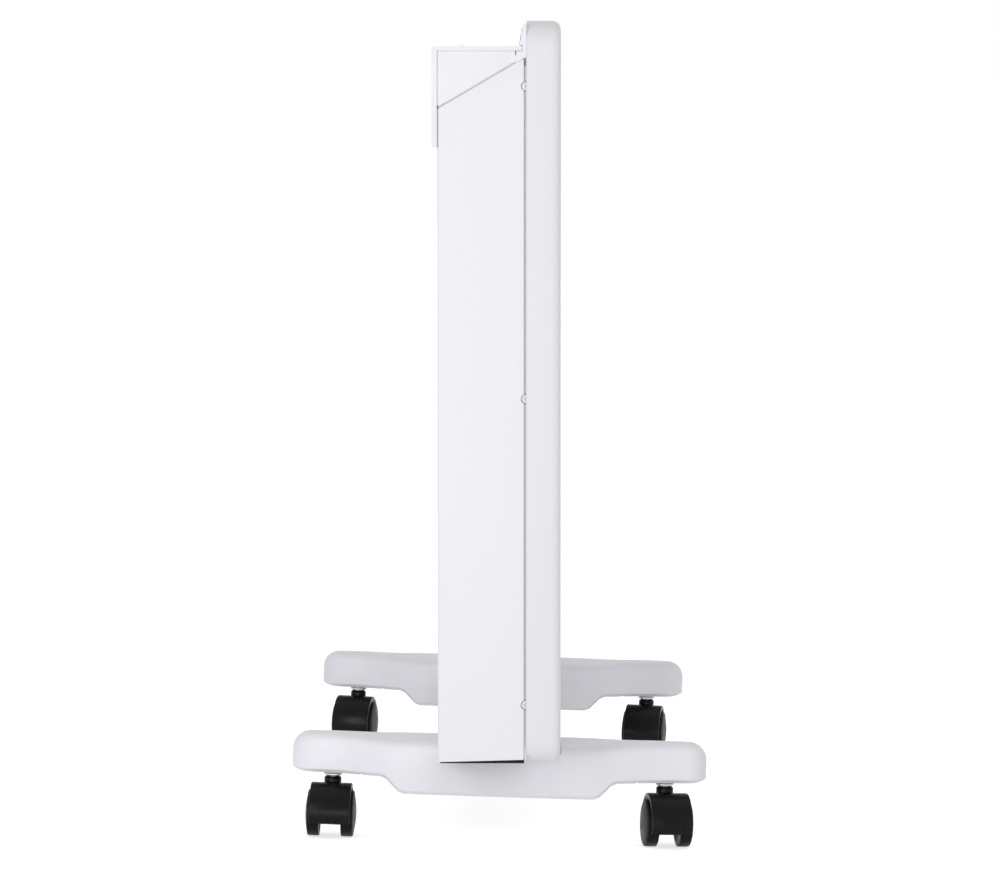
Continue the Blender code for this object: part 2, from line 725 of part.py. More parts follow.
def make_rear_casing(material):
    """Folded steel box, open to the front and below, with joggled tongues that slide into the panel."""
    shape = bmesh.new()
    shape.from_mesh(plate([casing_outline()], -CASING_HALF, CASING_HALF, SIDE))
    steep = math.cos(STEEP_ANGLE)
    opened = [face for face in shape.faces if face.normal.y < -1 + WELD or face.normal.z < steep - 1]
    bmesh.ops.delete(shape, geom=opened, context="FACES_ONLY")
    folds = [edge for edge in shape.edges if len(edge.link_faces) == 2]
    bmesh.ops.bevel(shape, geom=folds, offset=CASING_EDGE_RADIUS, segments=EDGE_STEPS, profile=ROUND_PROFILE,
                    affect="EDGES")
    mesh = bpy.data.meshes.new("rear_casing")
    shape.to_mesh(mesh)
    shape.free()
    casing = node("rear_casing", mesh, material)
    solid = casing.modifiers.new("sheet", "SOLIDIFY")
    solid.thickness = CASING_SHEET
    solid.offset = -1
    solid.use_even_offset = True
    ahead = (PANEL_REAR_Y - OVERRUN, CASING_FRONT_Y - WELD)
    cut(casing, box((-PANEL_HALF - OVERRUN, PANEL_HALF + OVERRUN), ahead, (PANEL_BOTTOM_Z, PANEL_TOP_Z)))
    low = PANEL_BOTTOM_Z + TONGUE_BOTTOM_LIFT
    high = CASING_FRONT_TOP_Z - TONGUE_TOP_MARGIN
    for tongue, joint in zip(both_sides(TONGUE_INNER_HALF, TONGUE_OUTER_HALF),
                             both_sides(TONGUE_INNER_HALF, CASING_INNER_HALF + FUSE)):
        root = CASING_FRONT_Y + TONGUE_ROOT
        join(casing, box(tongue, (CASING_FRONT_Y - TONGUE_REACH, root), (low, high)))
        join(casing, box(joint, (root - TONGUE_JOINT, root), (low, high)))
    sill_half = FRAME_INNER_HALF - FRAME_FLANGE
    sill_y = (CASING_INNER_Y - SILL_WIDTH, CASING_INNER_Y + FUSE)
    sill_z = (SILL_Z, SILL_Z + CASING_SHEET)
    join(casing, box((-sill_half, sill_half), sill_y, sill_z))
    for height in side_screw_heights():
        for side in (-1, 1):
            seat = (side * (TONGUE_OUTER_HALF + FUSE), SIDE_SCREW_Y, height)
            outside = (side * (CASING_HALF + OVERRUN), SIDE_SCREW_Y, height)
            deep = (side * (TONGUE_INNER_HALF - OVERRUN), SIDE_SCREW_Y, height)
            cut(casing, rod(seat, outside, SIDE_SCREW_HEAD_RADIUS + CLEARANCE, NOTCH_STEPS))
            cut(casing, rod(deep, outside, SIDE_SCREW_RADIUS + CLEARANCE))
    _, rear_y = foot_screw_depths()
    for x in (-FOOT_X, FOOT_X):
        cut(casing, rod((x, rear_y, SILL_Z - OVERRUN), (x, rear_y, SILL_Z + CASING_SHEET + OVERRUN),
                        FOOT_SCREW_RADIUS + CLEARANCE))
    duct = (-PANEL_HALF + DUCT_MARGIN + HOUSING_WALL, BOX_END_X - DUCT_MARGIN)
    duct_front = CONTROLS_Y - well_sizes()[0] - WELL_WALL - DUCT_GAP
    cut(casing, box(duct, (duct_front, DUCT_REAR_Y), (slope_z(DUCT_REAR_Y) - DUCT_MARGIN, COVER_TOP_Z)))
    through = (-CASING_REAR_Y - OVERRUN, -CASING_INNER_Y + OVERRUN)
    for side in (-1, 1):
        middle = side * HANGER_X
        top = slope_z(CASING_REAR_Y) - HANGER_DROP
        slot = rounded_rectangle((middle - HANGER_WIDTH / 2, middle + HANGER_WIDTH / 2),
                                 (top - HANGER_HEIGHT, top), HANGER_CORNER, EDGE_STEPS)
        cut(casing, plate([slot], *through, FRONT))
    cut(casing, rod((GLAND_X, CASING_INNER_Y - OVERRUN, GLAND_Z), (GLAND_X, CASING_REAR_Y + OVERRUN, GLAND_Z),
                    GLAND_NECK_RADIUS + CLEARANCE, ROUND_STEPS))
    return casing


def make_side_frames(material):
    """Channel at each end, which joins the panel, the tongues, the rear wall and the heat shield."""
    bottom = PANEL_BOTTOM_Z + FRAME_BOTTOM_LIFT
    front = PANEL_INNER_Y + CLEARANCE
    rear = CASING_INNER_Y - CLEARANCE
    top = slope_z(CASING_FRONT_Y) - FRAME_TOP_MARGIN
    rear_top = slope_z(rear) - FRAME_TOP_MARGIN
    outline = [(front, bottom), (rear, bottom), (rear, rear_top), (CASING_FRONT_Y, top), (front, top)]
    for side, sheet, flange in zip(("left", "right"), both_sides(FRAME_INNER_HALF, FRAME_OUTER_HALF),
                                   both_sides(FRAME_OUTER_HALF - FRAME_FLANGE, FRAME_OUTER_HALF - FUSE)):
        frame = node("side_frame_" + side, plate([outline], *sheet, SIDE), material, smooth=False)
        join(frame, box(flange, (front, front + FRAME_SHEET),
                        (bottom + FRAME_TOP_MARGIN, top - FRAME_TOP_MARGIN)))
        join(frame, box(flange, (rear - FRAME_SHEET, rear), (bottom + FRAME_TOP_MARGIN,
                                                            rear_top - FRAME_TOP_MARGIN)))
        for height in side_screw_heights():
            cut(frame, rod((sheet[0] - OVERRUN, SIDE_SCREW_Y, height), (sheet[1] + OVERRUN, SIDE_SCREW_Y, height),
                           SIDE_SCREW_RADIUS + CLEARANCE))


def make_side_screws(material):
    """Pan-head screws that sit in the seam, three at each end."""
    for side_name, side in (("left", -1), ("right", 1)):
        for number, height in enumerate(side_screw_heights(), start=1):
            seat = TONGUE_OUTER_HALF + CLEARANCE
            top = seat + SIDE_SCREW_HEAD_HEIGHT
            tip = seat - SIDE_SCREW_LENGTH
            edge = SIDE_SCREW_HEAD_HEIGHT / 3
            profile = [(0, top), (SIDE_SCREW_HEAD_RADIUS - edge, top), (SIDE_SCREW_HEAD_RADIUS, top - edge),
                       (SIDE_SCREW_HEAD_RADIUS, seat), (SIDE_SCREW_RADIUS, seat), (SIDE_SCREW_RADIUS, tip),
                       (0, tip)]
            lay = Matrix.Translation((0, SIDE_SCREW_Y, height)) @ Matrix.Rotation(side * math.pi / 2, 4, "Y")
            name = f"side_screw_{side_name}_{number}"
            node(name, turned(profile, lay, SMALL_STEPS), material)


def make_heat_shield(material):
    """Reflector plate with hemmed ends, in front of the rear wall."""
    low = PANEL_BOTTOM_Z + SHIELD_BOTTOM_LIFT
    high = slope_z(CASING_REAR_Y) - SHIELD_TOP_MARGIN
    half = FRAME_INNER_HALF - CLEARANCE
    y = (SHIELD_FRONT_Y, SHIELD_FRONT_Y + SHIELD_SHEET)
    shield = node("heat_shield", box((-half, half), y, (low, high)), material, smooth=False)
    hem_y = (SHIELD_FRONT_Y, CASING_INNER_Y - CLEARANCE)
    for edge in (low, high - SHIELD_SHEET):
        hem_half = half - FRAME_FLANGE
        join(shield, box((-hem_half, hem_half), hem_y, (edge, edge + SHIELD_SHEET)))
    return shield


def element_outline():
    """Gives the finned section of the element, fin by fin round an elliptical envelope."""
    points = []
    for fin in range(ELEMENT_FINS):
        angle = 2 * math.pi * (fin + 0.5) / ELEMENT_FINS
        across, up = math.cos(angle), math.sin(angle)
        reach = 1 / math.hypot(across / ELEMENT_HALF_DEPTH, up / ELEMENT_HALF_HEIGHT)
        half = ELEMENT_FIN_THICKNESS / 2
        root = math.sqrt(ELEMENT_HUB_RADIUS ** 2 - half ** 2)
        for along, aside in ((root, -half), (reach, -half), (reach, half), (root, half)):
            points.append((ELEMENT_CENTRE_Y + along * across - aside * up,
                           ELEMENT_Z + along * up + aside * across))
    return points


def make_element(fin_material, tube_material, bracket_material):
    """Finned extrusion on a sheathed rod, which two brackets carry off the heat shield."""
    half = ELEMENT_HALF_LENGTH
    bore = arc((ELEMENT_CENTRE_Y, ELEMENT_Z), ELEMENT_TUBE_RADIUS + CLEARANCE, 0, 2 * math.pi,
               ROUND_STEPS)[:-1]
    node("heating_element", plate([element_outline(), bore], -half, half, SIDE), fin_material)
    tube = ELEMENT_TUBE_HALF
    pin = tube + ELEMENT_PIN_LENGTH
    profile = [(0, pin), (ELEMENT_PIN_RADIUS, pin), (ELEMENT_PIN_RADIUS, tube), (ELEMENT_TUBE_RADIUS, tube),
               (ELEMENT_TUBE_RADIUS, -tube), (ELEMENT_PIN_RADIUS, -tube), (ELEMENT_PIN_RADIUS, -pin), (0, -pin)]
    lay = Matrix.Translation((0, ELEMENT_CENTRE_Y, ELEMENT_Z)) @ Matrix.Rotation(math.pi / 2, 4, "Y")
    node("element_tube", turned(profile, lay, NOTCH_STEPS), tube_material)
    back = SHIELD_FRONT_Y - CLEARANCE
    rise = (ELEMENT_Z - BRACKET_HALF_HEIGHT, ELEMENT_Z + BRACKET_HALF_HEIGHT)
    nose = ELEMENT_CENTRE_Y - BRACKET_NOSE
    hole = (ELEMENT_CENTRE_Y, ELEMENT_Z)
    for side_name, side in (("left", -1), ("right", 1)):
        across = sorted((side * BRACKET_X, side * (BRACKET_X + BRACKET_SHEET)))
        outline = [(back, rise[0]), (back, rise[1]), (hole[0], rise[1] - BRACKET_SHEET)]
        outline += arc(hole, BRACKET_NOSE, math.pi / 2, 3 * math.pi / 2, CORNER_STEPS)
        outline += [(hole[0], rise[0] + BRACKET_SHEET)]
        circle = arc(hole, ELEMENT_TUBE_RADIUS + CLEARANCE, 0, 2 * math.pi, ROUND_STEPS)[:-1]
        bracket = node("element_bracket_" + side_name, plate([outline, circle], *across, SIDE), bracket_material,
                       smooth=False)
        foot = sorted((side * (BRACKET_X + FUSE), side * (BRACKET_X + BRACKET_FOOT)))
        join(bracket, box(foot, (back - BRACKET_SHEET, back - WELD), rise))


def make_thermal_cutout(material):
    """Disc cut-out with two ears, flat on the heat shield."""
    back = SHIELD_FRONT_Y - CLEARANCE
    front = back - CUTOUT_HEIGHT
    ears = (CUTOUT_X - CUTOUT_EAR_HALF, CUTOUT_X + CUTOUT_EAR_HALF)
    height = (CUTOUT_Z - CUTOUT_EAR_HEIGHT, CUTOUT_Z + CUTOUT_EAR_HEIGHT)
    disc = node("thermal_cutout", rod((CUTOUT_X, back, CUTOUT_Z), (CUTOUT_X, front, CUTOUT_Z), CUTOUT_RADIUS,
                                      ROUND_STEPS), material)
    join(disc, box(ears, (back - CUTOUT_FLANGE, back - WELD), height))


def make_tip_over_switch(material):
    """Sealed tip-over switch on the right side frame."""
    high_x = FRAME_INNER_HALF - CLEARANCE
    x = (high_x - TIP_SWITCH_LENGTH, high_x)
    y = (ELEMENT_CENTRE_Y, ELEMENT_CENTRE_Y + TIP_SWITCH_DEPTH)
    z = (TIP_SWITCH_Z, TIP_SWITCH_Z + TIP_SWITCH_HEIGHT)
    switch = node("tip_over_switch", edged_box(x, y, z, SWITCH_EDGE), material)
    tab = (high_x - TIP_SWITCH_TAB_SHEET, high_x - WELD)
    join(switch, box(tab, (y[0] + FUSE, y[1] - FUSE), (z[0] - TIP_SWITCH_TAB, z[1] + TIP_SWITCH_TAB)))


def make_terminal_block(material):
    """Three-way terminal block on the heat shield, below the control box."""
    back = SHIELD_FRONT_Y - CLEARANCE
    x = (TERMINAL_X - TERMINAL_LENGTH / 2, TERMINAL_X + TERMINAL_LENGTH / 2)
    y = (back - TERMINAL_DEPTH, back)
    z = (TERMINAL_Z - TERMINAL_HEIGHT / 2, TERMINAL_Z + TERMINAL_HEIGHT / 2)
    block = node("terminal_block", edged_box(x, y, z, SWITCH_EDGE), material)
    pitch = TERMINAL_LENGTH / TERMINAL_WAYS
    for way in range(TERMINAL_WAYS):
        across = x[0] + pitch * (way + 0.5)
        middle = y[0] + TERMINAL_DEPTH / 2
        cut(block, rod((across, middle, z[0] - OVERRUN), (across, middle, z[0] + TERMINAL_HOLE_DEPTH),
                       TERMINAL_HOLE_RADIUS))
        cut(block, rod((across, y[0] - OVERRUN, TERMINAL_Z), (across, y[0] + OVERRUN, TERMINAL_Z),
                       TERMINAL_HOLE_RADIUS))


def make_cord_gland(material):
    """Snap-in bush in the rear wall, with the empty bore where a cord would enter."""
    outer = CASING_REAR_Y + CLEARANCE
    inner = CASING_INNER_Y - CLEARANCE
    profile = [(GLAND_BORE, outer + GLAND_FLANGE), (GLAND_FLANGE_RADIUS - GLAND_CLIP, outer + GLAND_FLANGE),
               (GLAND_FLANGE_RADIUS, outer + GLAND_FLANGE / 2), (GLAND_FLANGE_RADIUS, outer),
               (GLAND_NECK_RADIUS, outer), (GLAND_NECK_RADIUS, inner), (GLAND_CLIP_RADIUS, inner),
               (GLAND_NECK_RADIUS, inner - GLAND_CLIP * 2), (GLAND_BORE, inner - GLAND_CLIP * 2)]
    lay = Matrix.Translation((GLAND_X, 0, GLAND_Z)) @ Matrix.Rotation(-math.pi / 2, 4, "X")
    node("cord_gland", turned(profile, lay, ROUND_STEPS, closed=True), material)


def slat_outline():
    """Gives a slat's plan: a wide rear blade and a narrower lip that fills the window."""
    half = PANEL_HALF - GRILLE_END_GAP - PANEL_SHEET
    lip = WINDOW_HALF - WINDOW_CORNER
    behind = PANEL_INNER_Y + CLEARANCE
    front = PANEL_FRONT_Y + CLEARANCE
    return half, lip, behind, front


def make_outlet_grille(material):
    """Louvre behind the top of the panel. Its slats end in a leaning comb above the casing."""
    half, lip, behind, front = slat_outline()
    levels = slat_levels()
    top = PANEL_TOP_Z - PANEL_SHEET - CLEARANCE
    bottom = levels[-1] - SLAT_PITCH
    inner_rear = PANEL_REAR_Y - CLEARANCE
    lower_y = comb_y(bottom) - COMB_NOTCH
    upper_y = comb_y(top) - COMB_NOTCH
    cheek_front = behind + GRILLE_RIB_INSET
    cheek = [(cheek_front, bottom), (lower_y, bottom), (upper_y, top - FUSE), (cheek_front, top - FUSE)]
    head = box((-half, half), (cheek_front + FUSE, upper_y + FUSE), (top - GRILLE_HEAD, top))
    grille = node("outlet_grille", head, material, smooth=False)
    for across in both_sides(half - GRILLE_END_WALL, half - FUSE):
        join(grille, plate([cheek], *across, SIDE))
    rib = [(behind + FUSE, bottom), (inner_rear, bottom), (inner_rear, top - FUSE),
           (behind + PANEL_EDGE_RADIUS, top - FUSE), (behind + FUSE, window_range()[1])]
    pitch = 2 * WINDOW_HALF / (GRILLE_RIBS + 1)
    for index in range(GRILLE_RIBS):
        middle = pitch * (index + 1) - WINDOW_HALF
        join(grille, plate([rib], middle - GRILLE_RIB / 2, middle + GRILLE_RIB / 2, SIDE))
    for level in levels[1:]:
        rear = comb_y(level)
        blade = [(-half, rear), (half, rear), (half, behind + SLAT_SHOULDER), (lip, behind), (lip, front),
                 (-lip, front), (-lip, behind), (-half, behind + SLAT_SHOULDER)]
        lay = Matrix.Translation((0, rear, level)) @ Matrix.Rotation(SLAT_TILT, 4, "X")
        lay = lay @ Matrix.Translation((0, -rear, 0))
        join(grille, plate([blade], -SLAT_THICKNESS / 2, SLAT_THICKNESS / 2, lay))
    wall = PANEL_SHEET + CLEARANCE
    hollow = rounded_rectangle((wall - PANEL_HALF, PANEL_HALF - wall), (PANEL_BOTTOM_Z + wall, PANEL_TOP_Z - wall),
                               PANEL_CORNER_RADIUS - wall)
    boolean(grille, plate([hollow], -CASING_REAR_Y, OVERRUN - PANEL_FRONT_Y, FRONT), "INTERSECT")
    cut(grille, plate([casing_outline(CLEARANCE)], -PANEL_HALF - OVERRUN, PANEL_HALF + OVERRUN, SIDE))
    cut(grille, box((-PANEL_HALF - OVERRUN, BOX_END_X + CLEARANCE),
                    (CASING_FRONT_Y + COVER_FRONT_INSET - CLEARANCE, CASING_REAR_Y),
                    (COVER_UNDER_Z - CLEARANCE, COVER_TOP_Z + CLEARANCE)))
    return grille


def make_inlet_grille(material):
    """Black grid that closes the casing from below, between the casing's walls."""
    half = CASING_INNER_HALF - CLEARANCE
    y = (CASING_FRONT_Y - CLEARANCE, CASING_INNER_Y - CLEARANCE)
    z = (PANEL_BOTTOM_Z, INLET_TOP_Z)
    opening_y = (y[0] + INLET_END_RAIL, y[1] - INLET_RAIL)
    opening_half = half - INLET_RAIL
    spine = sum(opening_y) / 2
    holes = []
    pitch = (2 * opening_half + INLET_BAR) / INLET_BARS
    for index in range(INLET_BARS):
        low = pitch * index - opening_half
        high = low + pitch - INLET_BAR
        for span in ((opening_y[0], spine - INLET_SPINE / 2), (spine + INLET_SPINE / 2, opening_y[1])):
            holes.append(box((low, high), span, (z[0] - OVERRUN, z[1] + OVERRUN)))
    grille = cut(node("inlet_grille", box((-half, half), y, z), material, smooth=False), group(holes))
    _, rear_y = foot_screw_depths()
    for x in (-FOOT_X, FOOT_X):
        cut(grille, rod((x, rear_y, z[0] - OVERRUN), (x, rear_y, z[1] + OVERRUN), FOOT_SCREW_RADIUS + CLEARANCE))
    return grille


def pan_range():
    """Gives the X range of the recess that holds both switches."""
    margin = SWITCH_FLANGE_HALF_X + CLEARANCE + PAN_WALL / 2
    return SWITCH_FIRST_X - margin, SWITCH_FIRST_X + SWITCH_PITCH + margin


def well_sizes():
    """Gives the radius of the knob's well and the height of its floor."""
    return KNOB_RADIUS + WELL_GAP, COVER_TOP_Z - CLEARANCE - KNOB_HEIGHT - WELL_FLOOR_GAP


def make_control_housing(material):
    """Four walls that stand on the sloping top and carry the cover."""
    low_x = -PANEL_HALF + HOUSING_SIDE_INSET
    high_x = BOX_END_X - HOUSING_SIDE_INSET
    rear = CASING_REAR_Y - CLEARANCE
    top = COVER_UNDER_Z - CLEARANCE
    lift = CLEARANCE * 2
    outline = [(HOUSING_FRONT_Y, slope_z(HOUSING_FRONT_Y) + lift), (rear, slope_z(rear) + lift), (rear, top),
               (HOUSING_FRONT_Y, top)]
    housing = node("control_housing", plate([outline], low_x, high_x, SIDE), material, smooth=False)
    inner_y = (HOUSING_FRONT_Y + HOUSING_WALL, rear - HOUSING_WALL)
    cut(housing, box((low_x + HOUSING_WALL, high_x - HOUSING_WALL), inner_y,
                     (slope_z(CASING_REAR_Y) - OVERRUN, top + OVERRUN)))
    return housing


def make_control_cover(material):
    """Top plate and rear lip in one moulding, with a switch recess and a well for the knob."""
    front = CASING_FRONT_Y + COVER_FRONT_INSET
    lip_front = CASING_REAR_Y + COVER_LIP_GAP
    rear = lip_front + COVER_LIP
    lip_bottom = COVER_TOP_Z - COVER_LIP_LENGTH
    outline = [(front, COVER_UNDER_Z), (lip_front, COVER_UNDER_Z), (lip_front, lip_bottom)]
    outline += arc((rear - COVER_CORNER, lip_bottom + COVER_CORNER), COVER_CORNER, -math.pi / 2, 0, EDGE_STEPS)
    outline += arc((rear - COVER_CORNER, COVER_TOP_Z - COVER_CORNER), COVER_CORNER, 0, math.pi / 2, EDGE_STEPS)
    outline += [(front, COVER_TOP_Z)]
    cover = node("control_cover", plate([outline], -PANEL_HALF, BOX_END_X, SIDE), material)
    pan_x = pan_range()
    pan_y = (CONTROLS_Y - PAN_HALF_DEPTH, CONTROLS_Y + PAN_HALF_DEPTH)
    tray = box((pan_x[0] - PAN_WALL, pan_x[1] + PAN_WALL), (pan_y[0] - PAN_WALL, pan_y[1] + PAN_WALL),
               (PAN_FLOOR_Z - PAN_WALL, COVER_UNDER_Z + FUSE))
    join(cover, tray)
    radius, floor = well_sizes()
    join(cover, rod((KNOB_X, CONTROLS_Y, floor - WELL_WALL), (KNOB_X, CONTROLS_Y, COVER_UNDER_Z + FUSE),
                    radius + WELL_WALL, WELL_STEPS))
    cut(cover, plate([rounded_rectangle(pan_x, pan_y, COVER_CORNER, EDGE_STEPS)], PAN_FLOOR_Z,
                     COVER_TOP_Z + OVERRUN))
    cut(cover, rod((KNOB_X, CONTROLS_Y, floor), (KNOB_X, CONTROLS_Y, COVER_TOP_Z + OVERRUN), radius,
                   WELL_STEPS))
    cut(cover, rod((KNOB_X, CONTROLS_Y, floor - WELL_WALL - OVERRUN), (KNOB_X, CONTROLS_Y, floor + OVERRUN),
                   SHAFT_RADIUS + CLEARANCE, ROUND_STEPS))
    cut(cover, rod((LENS_X, CONTROLS_Y, COVER_UNDER_Z - OVERRUN), (LENS_X, CONTROLS_Y, COVER_TOP_Z + OVERRUN),
                   LENS_RADIUS + CLEARANCE, ROUND_STEPS))
    for index in range(2):
        middle = SWITCH_FIRST_X + SWITCH_PITCH * index
        half_x = SWITCH_BODY_HALF_X + CLEARANCE
        half_y = SWITCH_BODY_HALF_Y + CLEARANCE
        cut(cover, box((middle - half_x, middle + half_x), (CONTROLS_Y - half_y, CONTROLS_Y + half_y),
                       (PAN_FLOOR_Z - PAN_WALL - OVERRUN, PAN_FLOOR_Z + OVERRUN)))
    return cover


def make_switches(body_material, rocker_material):
    """Two rocker switches side by side, shown switched off."""
    seat = PAN_FLOOR_Z + CLEARANCE
    pivot_z = seat + SWITCH_FLANGE - ROCKER_PIVOT_DROP
    for index, level in enumerate(("low", "high")):
        middle = SWITCH_FIRST_X + SWITCH_PITCH * index
        body = node("switch_body_" + level, box(
            (middle - SWITCH_FLANGE_HALF_X, middle + SWITCH_FLANGE_HALF_X),
            (CONTROLS_Y - SWITCH_FLANGE_HALF_Y, CONTROLS_Y + SWITCH_FLANGE_HALF_Y),
            (seat, seat + SWITCH_FLANGE)), body_material, smooth=False)
        join(body, box((middle - SWITCH_BODY_HALF_X, middle + SWITCH_BODY_HALF_X),
                       (CONTROLS_Y - SWITCH_BODY_HALF_Y, CONTROLS_Y + SWITCH_BODY_HALF_Y),
                       (seat - SWITCH_BODY_DEPTH, seat + FUSE)))
        pocket_x = ROCKER_HALF_X + ROCKER_SIDE_GAP
        pocket_y = ROCKER_HALF_Y + ROCKER_END_GAP
        cut(body, box((middle - pocket_x, middle + pocket_x), (CONTROLS_Y - pocket_y, CONTROLS_Y + pocket_y),
                      (pivot_z - SWITCH_POCKET_DEPTH, COVER_TOP_Z + OVERRUN)))
        bearing = pocket_x + ROCKER_PIVOT_LENGTH
        cut(body, rod((middle - bearing, CONTROLS_Y, pivot_z - SWITCH_FLANGE), (middle + bearing, CONTROLS_Y,
                      pivot_z - SWITCH_FLANGE), ROCKER_PIVOT_RADIUS + CLEARANCE))
        axis = empty("rocker_axis_" + level, (middle, CONTROLS_Y, pivot_z - SWITCH_FLANGE))
        axis.rotation_euler = (ROCKER_TILT, 0, 0)
        rise = SWITCH_FLANGE
        outline = [(-ROCKER_HALF_Y, ROCKER_END_HEIGHT + rise), (-ROCKER_HALF_Y, rise - ROCKER_SKIRT),
                   (-ROCKER_KEEL_HALF, -ROCKER_KEEL), (ROCKER_KEEL_HALF, -ROCKER_KEEL),
                   (ROCKER_HALF_Y, rise - ROCKER_SKIRT), (ROCKER_HALF_Y, ROCKER_END_HEIGHT + rise),
                   (0, ROCKER_WAIST_HEIGHT + rise)]
        rocker = node("power_rocker_" + level, plate([outline], -ROCKER_HALF_X, ROCKER_HALF_X, SIDE),
                      rocker_material, axis, smooth=False)
        reach = ROCKER_HALF_X + ROCKER_PIVOT_LENGTH
        join(rocker, rod((-reach, 0, 0), (reach, 0, 0), ROCKER_PIVOT_RADIUS))


def make_indicator_lens(material):
    """Clear lens with a flange that bears on the underside of the cover."""
    under = COVER_UNDER_Z - CLEARANCE
    top = COVER_TOP_Z - CLEARANCE
    profile = [(0, top), (LENS_RADIUS / 2, top - LENS_CROWN / 4), (LENS_RADIUS, top - LENS_CROWN),
               (LENS_RADIUS, under), (LENS_FLANGE_RADIUS, under), (LENS_FLANGE_RADIUS, under - LENS_FLANGE),
               (0, under - LENS_FLANGE)]
    node("indicator_lens", turned(profile, Matrix.Translation((LENS_X, CONTROLS_Y, 0)), NOTCH_STEPS), material)


def knob_outline():
    """Gives the knob's fluted rim as a wave round a circle."""
    points = []
    steps = KNOB_FLUTES * 4
    for step in range(steps):
        angle = 2 * math.pi * step / steps
        radius = KNOB_RADIUS - KNOB_FLUTE_DEPTH * (1 - math.cos(KNOB_FLUTES * angle)) / 2
        points.append((radius * math.cos(angle), radius * math.sin(angle)))
    return points


def make_thermostat(body_material, knob_material):
    """Thermostat under the knob's well, its shaft, and the fluted knob with a grip bar."""
    _, floor = well_sizes()
    top = floor - WELL_WALL - CLEARANCE
    low = top - THERMOSTAT_DEPTH
    x = (KNOB_X - THERMOSTAT_HALF, KNOB_X + THERMOSTAT_HALF)
    y = (CONTROLS_Y - THERMOSTAT_HALF, CONTROLS_Y + THERMOSTAT_HALF)
    body = node("thermostat", edged_box(x, y, (low, top), THERMOSTAT_EDGE), body_material, smooth=False)
    knob_bottom = floor + WELL_FLOOR_GAP
    join(body, rod((KNOB_X, CONTROLS_Y, top - OVERRUN), (KNOB_X, CONTROLS_Y, knob_bottom + KNOB_SOCKET_DEPTH
                   - CLEARANCE), SHAFT_RADIUS, ROUND_STEPS))
    for side in (-1, 1):
        tab = sorted((KNOB_X + side * (THERMOSTAT_HALF - THERMOSTAT_EDGE - FUSE),
                      KNOB_X + side * (THERMOSTAT_HALF + THERMOSTAT_TAB)))
        join(body, box(tab, (CONTROLS_Y - THERMOSTAT_TAB, CONTROLS_Y + THERMOSTAT_TAB),
                       (top - THERMOSTAT_TAB_SHEET - WELD, top - WELD)))
    axis = empty("knob_axis", (KNOB_X, CONTROLS_Y, knob_bottom))
    knob = node("thermostat_knob", plate([knob_outline()], 0, KNOB_HEIGHT), knob_material, axis)
    rim = KNOB_RADIUS + OVERRUN
    spread = math.acos(KNOB_GRIP_WIDTH / 2 / KNOB_GRIP_REACH)
    scoop = arc((0, 0), KNOB_GRIP_REACH, -spread, spread, SMALL_STEPS)
    for side in (-1, 1):
        outline = [(point[0] * side, point[1]) for point in scoop]
        cut(knob, plate([outline], KNOB_HEIGHT - KNOB_GRIP_CUT, KNOB_HEIGHT + OVERRUN))
    cut(knob, box((-KNOB_MARK_WIDTH / 2, KNOB_MARK_WIDTH / 2), (KNOB_RADIUS - KNOB_MARK_LENGTH, rim),
                  (KNOB_HEIGHT - KNOB_MARK_DEPTH, KNOB_HEIGHT + OVERRUN)))
    cut(knob, rod((0, 0, -OVERRUN), (0, 0, KNOB_SOCKET_DEPTH), SHAFT_RADIUS + CLEARANCE, ROUND_STEPS))


def foot_half_width(distance):
    """Gives half the foot's width at a distance from its middle."""
    nose = FOOT_LENGTH / 2 - FOOT_NOSE_RADIUS
    if distance > nose:
        return math.sqrt(max(FOOT_NOSE_RADIUS ** 2 - (distance - nose) ** 2, 0))
    part = max(distance - FOOT_TAPER_START, 0) / (nose - FOOT_TAPER_START)
    blend = (1 - math.cos(math.pi * part)) / 2
    return FOOT_CENTRE_WIDTH / 2 * (1 - blend) + FOOT_NOSE_RADIUS * blend


def foot_bottom(distance):
    """Gives the height of the foot's underside at a distance from its middle."""
    part = min(max((distance - FOOT_CENTRE_HALF) / FOOT_SWEEP, 0), 1)
    rise = FOOT_CENTRE_DROP * (1 - math.cos(math.pi * part)) / 2
    tip = max(distance - (FOOT_LENGTH / 2 - FOOT_END_EDGE), 0) / FOOT_END_EDGE
    return FOOT_BOTTOM_Z + rise + FOOT_TIP_RISE * tip ** 2


def foot_top(distance):
    """Gives the height of the foot's top at a distance from its middle."""
    past = min(max(distance - (FOOT_LENGTH / 2 - FOOT_END_EDGE), 0), FOOT_END_EDGE)
    part = (distance - FOOT_TOP_RISE_START) / (FOOT_TOP_RISE_END - FOOT_TOP_RISE_START)
    rise = FOOT_TOP_RISE * (1 - math.cos(math.pi * min(max(part, 0), 1))) / 2
    return FOOT_TOP_Z + rise - FOOT_END_EDGE + math.sqrt(FOOT_END_EDGE ** 2 - past ** 2)


def foot_ring(y):
    """Gives the foot's section at one depth, with a soft top edge and a small bottom edge."""
    distance = abs(y)
    half, low, high = foot_half_width(distance), foot_bottom(distance), foot_top(distance)
    limit = EDGE_LIMIT_SHARE * min(2 * half, high - low)
    top = min(FOOT_TOP_EDGE, limit)
    base = min(FOOT_BOTTOM_EDGE, limit)
    quarter = math.pi / 2
    points = arc((half - top, high - top), top, 0, quarter, FOOT_STEPS)
    points += arc((top - half, high - top), top, quarter, 2 * quarter, FOOT_STEPS)
    points += arc((base - half, low + base), base, 2 * quarter, 3 * quarter, 1)
    points += arc((half - base, low + base), base, 3 * quarter, 4 * quarter, 1)
    return [(across, y, up) for across, up in points]


